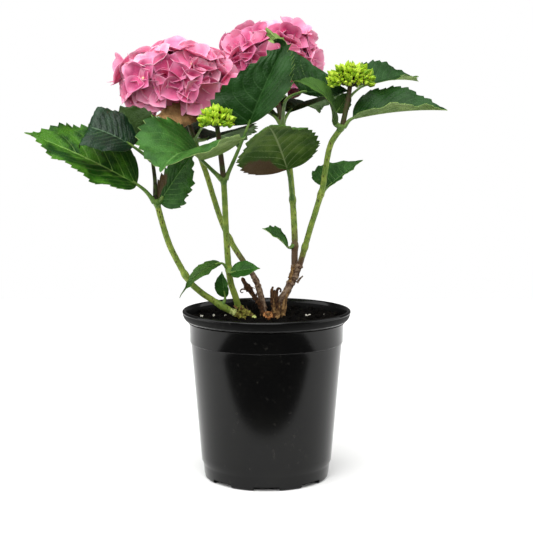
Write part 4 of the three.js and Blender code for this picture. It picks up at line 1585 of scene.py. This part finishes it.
@dataclass
class NurseryPot:
    """The pot: slanting wall with a ledge, rolled rim, and a foot cut by drainage slots."""

    height: float = 169
    rim_radius: float = 84
    rim_reach: float = 7.6
    rim_depth: float = 11
    rim_inset: float = 5  # from the rim's edge to the mouth
    bead: float = 1.9
    foot_radius: float = 62.5
    foot_height: float = 16
    foot_step: float = 2.6
    foot_round: float = 2.5
    ledge_height: float = 137
    ledge: float = 1
    wall: float = 1.6
    floor: float = 2.6
    slots: int = 8
    slot_width: float = 25
    slot_height: float = 4
    slot_depth: float = 9
    sides: int = 192

    @property
    def mouth_radius(self) -> float:
        """The radius inside the rim's bead."""
        return self.rim_radius - self.rim_inset

    def slant(self, z: float) -> float:
        """The slanting wall's outer radius.

        Args:
            z: A height between the foot and the ledge.

        Returns:
            The radius at that height.
        """
        share = (z - self.foot_height) / (self.ledge_height - self.foot_height)
        low = self.foot_radius + self.foot_step
        return low + (self.rim_radius - self.rim_reach - self.ledge - low) * share

    def profile(self) -> list[tuple[bool, list[tuple[float, float]]]]:
        """The outline of half the pot, from the middle of its underside round to the middle of its floor.

        Returns:
            The parts of the outline: whether each is dull, and the radius and height of its points.
        """
        neck = self.rim_radius - self.rim_reach
        foot, top, mouth = self.foot_radius, self.height, self.mouth_radius
        brim = top - self.rim_depth
        r = self.foot_round
        wall = [(0.0, 0.0), (foot - 6, 0.0)]
        wall += [(foot - r + r * math.sin(a), r - r * math.cos(a)) for a in np.linspace(0, math.pi / 2, 5)]
        wall += [(foot + self.ledge, self.foot_height - 3.6)]
        wall += [(foot + self.ledge + 0.4, self.foot_height - 1.2)]
        levels = np.linspace(self.foot_height + 1.5, self.ledge_height - 2.2, 24)
        wall += [(self.slant(z), float(z)) for z in levels]
        wall += [(neck - self.ledge + 0.1, self.ledge_height - 0.4), (neck, self.ledge_height + 0.4)]
        wall += [(neck + 0.4, brim - 1.6), (neck + 0.7, brim - 0.9), (neck + 2.6, brim + 0.1)]
        wall += [(neck + 4.8, top - 9)]
        r = self.bead
        turns = np.radians(np.linspace(-25, 165, 9))
        bead = [(self.rim_radius - r + r * math.cos(a), top - r + r * math.sin(a)) for a in turns]
        flare = [(neck + 6.3, top - 6.8), (self.rim_radius - 0.4, top - 4.2), bead[0]]
        inside = [(mouth - 0.2, top - 9.6), (neck - 0.4, brim - 0.4), (neck - self.wall, self.ledge_height)]
        inside += [(neck - self.wall - 1.4, self.ledge_height - 3)]
        inside += [(self.slant(self.foot_height) - self.wall, self.foot_height)]
        inside += [(foot - self.wall, self.floor + 1), (foot - self.wall - 1, self.floor), (0.0, self.floor)]
        return [(False, wall), (True, flare), (False, [*bead[1:], (mouth, top - 3.6)]), (True, inside)]

    def build(self) -> None:
        """Makes the pot's piece."""
        parts = self.profile()
        outline = [point for _, part in parts for point in part]
        dull = [is_dull for is_dull, part in parts for _ in part]
        points, faces, places = lathe(outline, self.sides)
        shell = Shell()
        shell.add(points, faces, 0, places)
        # A ring of faces takes the finish of the part it leads to, and the first leads to the third point.
        shell.finishes = [int(dull[min(k // self.sides + 2, len(dull) - 1)]) for k in range(len(faces))]
        # Black polypropylene: satin from the mould's fine texture, greyed by handling.
        skin = PotSkin("moulded_polypropylene", "#040404", "#080807", 40, 0.17, 0.9, 0.012, 1.49, shine=0.25)
        # The same inside and under the rim, dulled by the damp dust of the mix.
        inner = PotSkin("polypropylene_inside", "#030303", "#060605", 40, 0.55, 0.9, 0.012, 1.49, shine=0.1)
        pot = shell.build("pot_wall", [skin.make(), inner.make()], 35)
        cutter = self.cutter()
        cut = pot.modifiers.new("slots", "BOOLEAN")
        cut.operation = "DIFFERENCE"
        cut.object = cutter
        cut.solver = "EXACT"
        bpy.context.view_layer.objects.active = pot
        bpy.ops.object.modifier_apply(modifier=cut.name)
        bpy.data.objects.remove(cutter)
        pot.data.set_sharp_from_angle(angle=math.radians(35))
        finished(pot, "pot_plastic", "pot")

    def cutter(self) -> Piece:
        """Makes the space of all the slots.

        Returns:
            The space, as one object.
        """
        shell = Shell()
        corners = [(x, y, z) for x in (-1, 1) for y in (-1, 1) for z in (-1, 1)]
        faces = [(0, 1, 3, 2), (4, 6, 7, 5), (0, 4, 5, 1), (2, 3, 7, 6), (0, 2, 6, 4), (1, 5, 7, 3)]
        half = np.array([self.slot_width / 2, self.slot_depth, self.slot_height])
        block = np.array(corners) * half - [0, self.foot_radius, 0]
        for k in range(self.slots):
            shell.add(turned(block, UP, 360 * k / self.slots), faces)
        return shell.build("slot_space", [])


@dataclass
class PottingMix:
    """The mix: a filled body with a rough top, loose crumbs of bark and grains of perlite."""

    pot: NurseryPot
    top: float = 160
    sag: float = 2  # how much lower the top lies at its edge
    swell: tuple[float, float] = (1.5, 13)  # height and width of the broad lumps of its top
    grit: tuple[float, float] = (0.9, 4)  # and of the fine ones
    crumbs: int = 900
    crumb_sizes: tuple[float, float] = (0.8, 3.2)
    grains: int = 46
    grain_sizes: tuple[float, float] = (0.6, 1.5)
    heaps: tuple[tuple[float, float], ...] = ((37, 21), (41, 17), (60, 20))  # of white grains
    sides: int = 120
    rings: int = 60

    def surface(self, points: Array) -> Array:
        """The height of the rough top.

        Args:
            points: One point in each row.

        Returns:
            The height over each point.
        """
        flat = points * LEVEL
        (swell, wide), (grit, fine) = self.swell, self.grit
        return swell * rough(flat + 11, wide) + grit * rough(flat + 57, fine)

    def build(self) -> None:
        """Makes the pieces of the mix."""
        pot = self.pot
        floor, step = pot.floor + 0.3, pot.slot_height + 1
        hub = pot.foot_radius - pot.slot_depth - 1
        neck = pot.rim_radius - pot.rim_reach - pot.wall - 0.5
        edge = pot.mouth_radius - 0.5
        profile = [(0.0, floor), (hub, floor), (hub, step), (pot.foot_radius - pot.wall - 2, step)]
        profile += [(pot.slant(z) - pot.wall - 0.8, z) for z in (pot.foot_height, pot.ledge_height - 4)]
        profile += [(neck, pot.ledge_height + 1), (neck, self.top - 3.2), (edge, self.top - 2.9)]
        radii = edge * (1 - np.linspace(0.005, 0.995, self.rings))
        profile += [(float(r), self.top - self.sag * float(smooth(edge - 14, edge, r))) for r in radii]
        points, faces, places = lathe([*profile, (0.0, self.top)], self.sides)
        high = points[:, 2] > self.top - 2.4
        points[high, 2] += self.surface(points[high])
        shell = Shell()
        shell.add(points, faces, 0, places)
        # Composted bark and peat: crumbly, with no gloss; its near-black colour is painted shade, the shade
        # that fills the pot.
        mix = Surface("composted_bark_mix", "#030202", "#0b0805", 3.5, 0.95, 0.9, 0.5, shine=0.1)
        finished(shell.build("soil_body", [mix.make()], 50), "potting_mix", "soil")
        self.scatter("soil_crumbs", self.crumbs, self.crumb_sizes, mix, 21)
        # Expanded volcanic glass: chalky white, full of pores.
        perlite = Surface("perlite", "#d9d6cc", "#b9b4a6", 1.2, 0.85, 0.5, 0.3)
        self.scatter("soil_perlite", self.grains, self.grain_sizes, perlite, 77, self.heaps)

    def scatter(
        self, name: str, count: int, sizes: tuple[float, float], skin: Surface, seed: int,
        heaps: Sequence[tuple[float, float]] = (),
    ) -> None:
        """Makes one piece of loose lumps that lie on the top.

        Args:
            name: The piece's name.
            count: How many lumps.
            sizes: Smallest and largest half size.
            skin: Their finish.
            seed: What their places start from.
            heaps: Where two in three of them lie, if not anywhere.
        """
        shell = Shell()
        dice = Dice(seed)
        edge = self.pot.mouth_radius - 4
        share = np.linspace(-1, 1, 5)
        for number in range(count):
            away = edge * math.sqrt(dice.between(0, 1))
            turn = dice.between(0, 2 * math.pi)
            place = np.array([[away * math.cos(turn), away * math.sin(turn), 0.0]])
            if heaps and number % 3:
                place = place * 0.05 + [[*heaps[number % len(heaps)], 0.0]]
                away = float(np.linalg.norm(place))
            size = blend(sizes, dice.between(0, 1) ** 3)
            sunk = self.sag * float(smooth(edge - 6, edge + 6, away))
            place[0, 2] = self.top + self.surface(place)[0] - sunk + size * 0.3
            axis = unit(dice.direction() * [1, 1, 0.5])
            line = place[0] + axis * (share * size * dice.between(1.0, 1.9))[:, None]
            uneven = 1 + 0.35 * np.array([[dice.between(-1, 1) for _ in range(6)] for _ in share])
            tube(shell, line, size * np.sqrt(np.maximum(1.08 - share**2, 0))[:, None] * uneven)
        finished(shell.build(name, [skin.make()], 25), "potting_mix")


# ---------------------------------------------------------------- stage


@dataclass
class Stage:
    """A plain pale floor, soft studio light and the camera."""

    camera_place: Point = (0, -1300, 367)
    camera_dip: float = 6.8
    lens: float = 88.8
    floor_width: float = 2460
    floor_back: float = 1230
    floor_front: float = -198  # the board ends here, so that the pot's front mirrors the dark
    floor_drop: float = 0.2
    backdrop: float = 1.0
    room: float = 0.12
    overhead: float = 2.7
    overhead_spread: float = 75
    overhead_tilt: tuple[float, float] = (12, -8)
    aim: Point = (0, 0, 250)
    lamps: tuple[tuple[str, Point, float, float], ...] = (  # name, place, size, and power in watts
        ("key", (-250, -1900, 1500), 2200, 50),
        ("left_panel", (-1500, -300, 900), 1800, 20),
        ("right_panel", (1500, 0, 900), 1800, 15),
    )

    def build(self) -> None:
        """Makes the floor, the lights and the camera."""
        shell = Shell()
        half, front, back, low = self.floor_width / 2, self.floor_front, self.floor_back, -self.floor_drop
        corners = [(-half, front, low), (half, front, low), (half, back, low), (-half, back, low)]
        shell.add(np.array(corners), [(0, 1, 2, 3)])
        # Matte white board, with only the faintest unevenness.
        board = Surface("white_board", "#f6f6f5", "#f3f3f2", 400, 0.9, 3, 0.0)
        shell.build("floor", [board.make()])
        for lamp in self.lamps:
            self.light(*lamp)
        sun = bpy.data.lights.new("overhead", "SUN")
        sun.energy = self.overhead
        sun.angle = math.radians(self.overhead_spread)
        across, along = self.overhead_tilt
        in_scene("overhead", sun).rotation_euler = (math.radians(across), math.radians(along), 0)
        self.surroundings()
        scene = bpy.context.scene
        scene.view_settings.view_transform = "Standard"
        lens = bpy.data.cameras.new("camera")
        lens.lens = self.lens
        lens.clip_start, lens.clip_end = 0.05, 100
        scene.camera = in_scene("camera", lens)
        scene.camera.location = Vector(self.camera_place) * MM
        scene.camera.rotation_euler = (math.radians(90 - self.camera_dip), 0, 0)

    def surroundings(self) -> None:
        """Makes the room: a white backdrop whose own light on the plant is dimmer than the lamps'."""
        world = bpy.data.worlds.new("studio")
        world.use_nodes = True
        tree = world.node_tree
        tree.nodes.clear()
        seen = add_node(tree, "LightPath", out="Is Camera Ray")
        strength = add_node(tree, "MapRange", {"Value": seen, "To Min": self.room, "To Max": self.backdrop})
        sky = add_node(tree, "Background", {"Color": linear("#ffffff"), "Strength": strength})
        add_node(tree, "OutputWorld", {"Surface": sky})
        bpy.context.scene.world = world

    def light(self, name: str, place: Point, size: float, power: float) -> None:
        """Adds one soft square light that points at the plant's middle.

        Args:
            name: The light's name.
            place: Where it hangs.
            size: The length of its sides.
            power: Its power in watts.
        """
        lamp = bpy.data.lights.new(name, "AREA")
        lamp.size = size * MM
        lamp.energy = power
        holder = in_scene(name, lamp)
        holder.location = Vector(place) * MM
        holder.visible_camera = False
        aim = Vector(self.aim) * MM - holder.location
        holder.rotation_euler = aim.to_track_quat("-Z", "Y").to_euler()


# ---------------------------------------------------------------- the plant


HEADS = (
    Head("bloom_left", Stem.BACK, (-89, 0, 393), (49, 44, 34), 11),
    Head("bloom_right", Stem.MIDDLE, (4, 55, 416), (43, 41, 32), 29),
)
BUDS = (
    (Head("bud_front", Stem.FRONT, (-47, -58, 356), (14, 12, 12), 5), 190),
    (Head("bud_right", Stem.RIGHT, (81, -24, 395), (20, 16, 14), 8), 280),
)
# Three pinks; the lower and inner flowers take the deep one oftener as painted shade, the top ones the pale
# one as painted light.
PINKS = {
    "rose": ("#e87fa5", "#da6c96", "#f0aec6"),
    "pale": ("#ee9dba", "#e487aa", "#f5cbd9"),
    "deep": ("#cc4f80", "#a02a5e", "#e08db0"),
}
BUD_GREENS = {
    "lime": ("#aecb2e", "#93b822"),
    "pale": ("#cbe052", "#b0cf38"),
    "green": ("#86ac22", "#6c951c"),
}


def write_sizes() -> None:
    """Updates the view layer, so that the pieces' placements are current."""
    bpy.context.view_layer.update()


def main() -> None:
    """Builds the stage and then the plant from the pot upwards."""
    logging.basicConfig(level=logging.INFO, format="%(name)s: %(message)s")
    Stage().build()
    pot = NurseryPot()
    pot.build()
    PottingMix(pot).build()
    # Old hydrangea wood: papery peeling bark from grey-brown to tan, an orange-brown scar and a fresh cut.
    barks = [
        Surface(f"bark_{kind.name.lower()}", *kind.value, 0.85, 1.3, 0.5, shine=0.2).make() for kind in Bark
    ]
    for crown in CROWNS:
        crown.build(barks)
    Stems().build()
    # Petioles: smooth, juicy and paler than the blades.
    stalk = Surface("petiole_skin", "#708d42", "#507232", 9, 0.45, 1.2, 0.08, shine=0.3).make()
    # Young twig bark: darker and duller than the petioles.
    twig = Surface("twig_bark", "#3a4a1e", "#241f12", 4, 0.5, 1.2, 0.12, shine=0.3).make()
    blades = LeafFinishes()
    for mass in MASSES:
        mass.build(blades, [stalk, twig])
    # Sepals: thin and soft, so light spreads inside them and fills their shadows with pink.
    pinks = [
        PetalSkin(f"sepal_{name}", colour, second, 9, 0.62, 1.5, 0.12, 1.4, 0.2, margin=margin).make()
        for name, (colour, second, margin) in PINKS.items()
    ]
    # Beads: smooth cream buds, each with a small highlight.
    bead = Surface("flower_bead", "#efe0b4", "#dcc78d", 1, 0.5, 0.6, 0.05).make()
    # Flower stalks: thin and juicy, between pink and green.
    pedicel = Surface("pedicel_skin", "#c98aa0", "#b0c080", 6, 0.5, 1, 0.05).make()
    # Peduncles: firm and dusky, so they read dark under the flowers.
    dusky = Surface("peduncle_skin", "#4a3026", "#3f4a20", 7, 0.55, 1.2, 0.1, shine=0.3).make()
    for head in HEADS:
        Mophead(head).build(pinks, [pedicel, bead, dusky])
    # Closed buds: waxy and hardly translucent, so they stay a clean yellow-green.
    greens = [
        Surface(f"bud_{name}", *tones, 2.5, 0.5, 0.8, 0.1, 1.42, 0.1, 0.3).make()
        for name, tones in BUD_GREENS.items()
    ]
    for head, count in BUDS:
        BudHead(head, count).build([*greens, dusky])
    write_sizes()


if __name__ == "__main__":
    main()
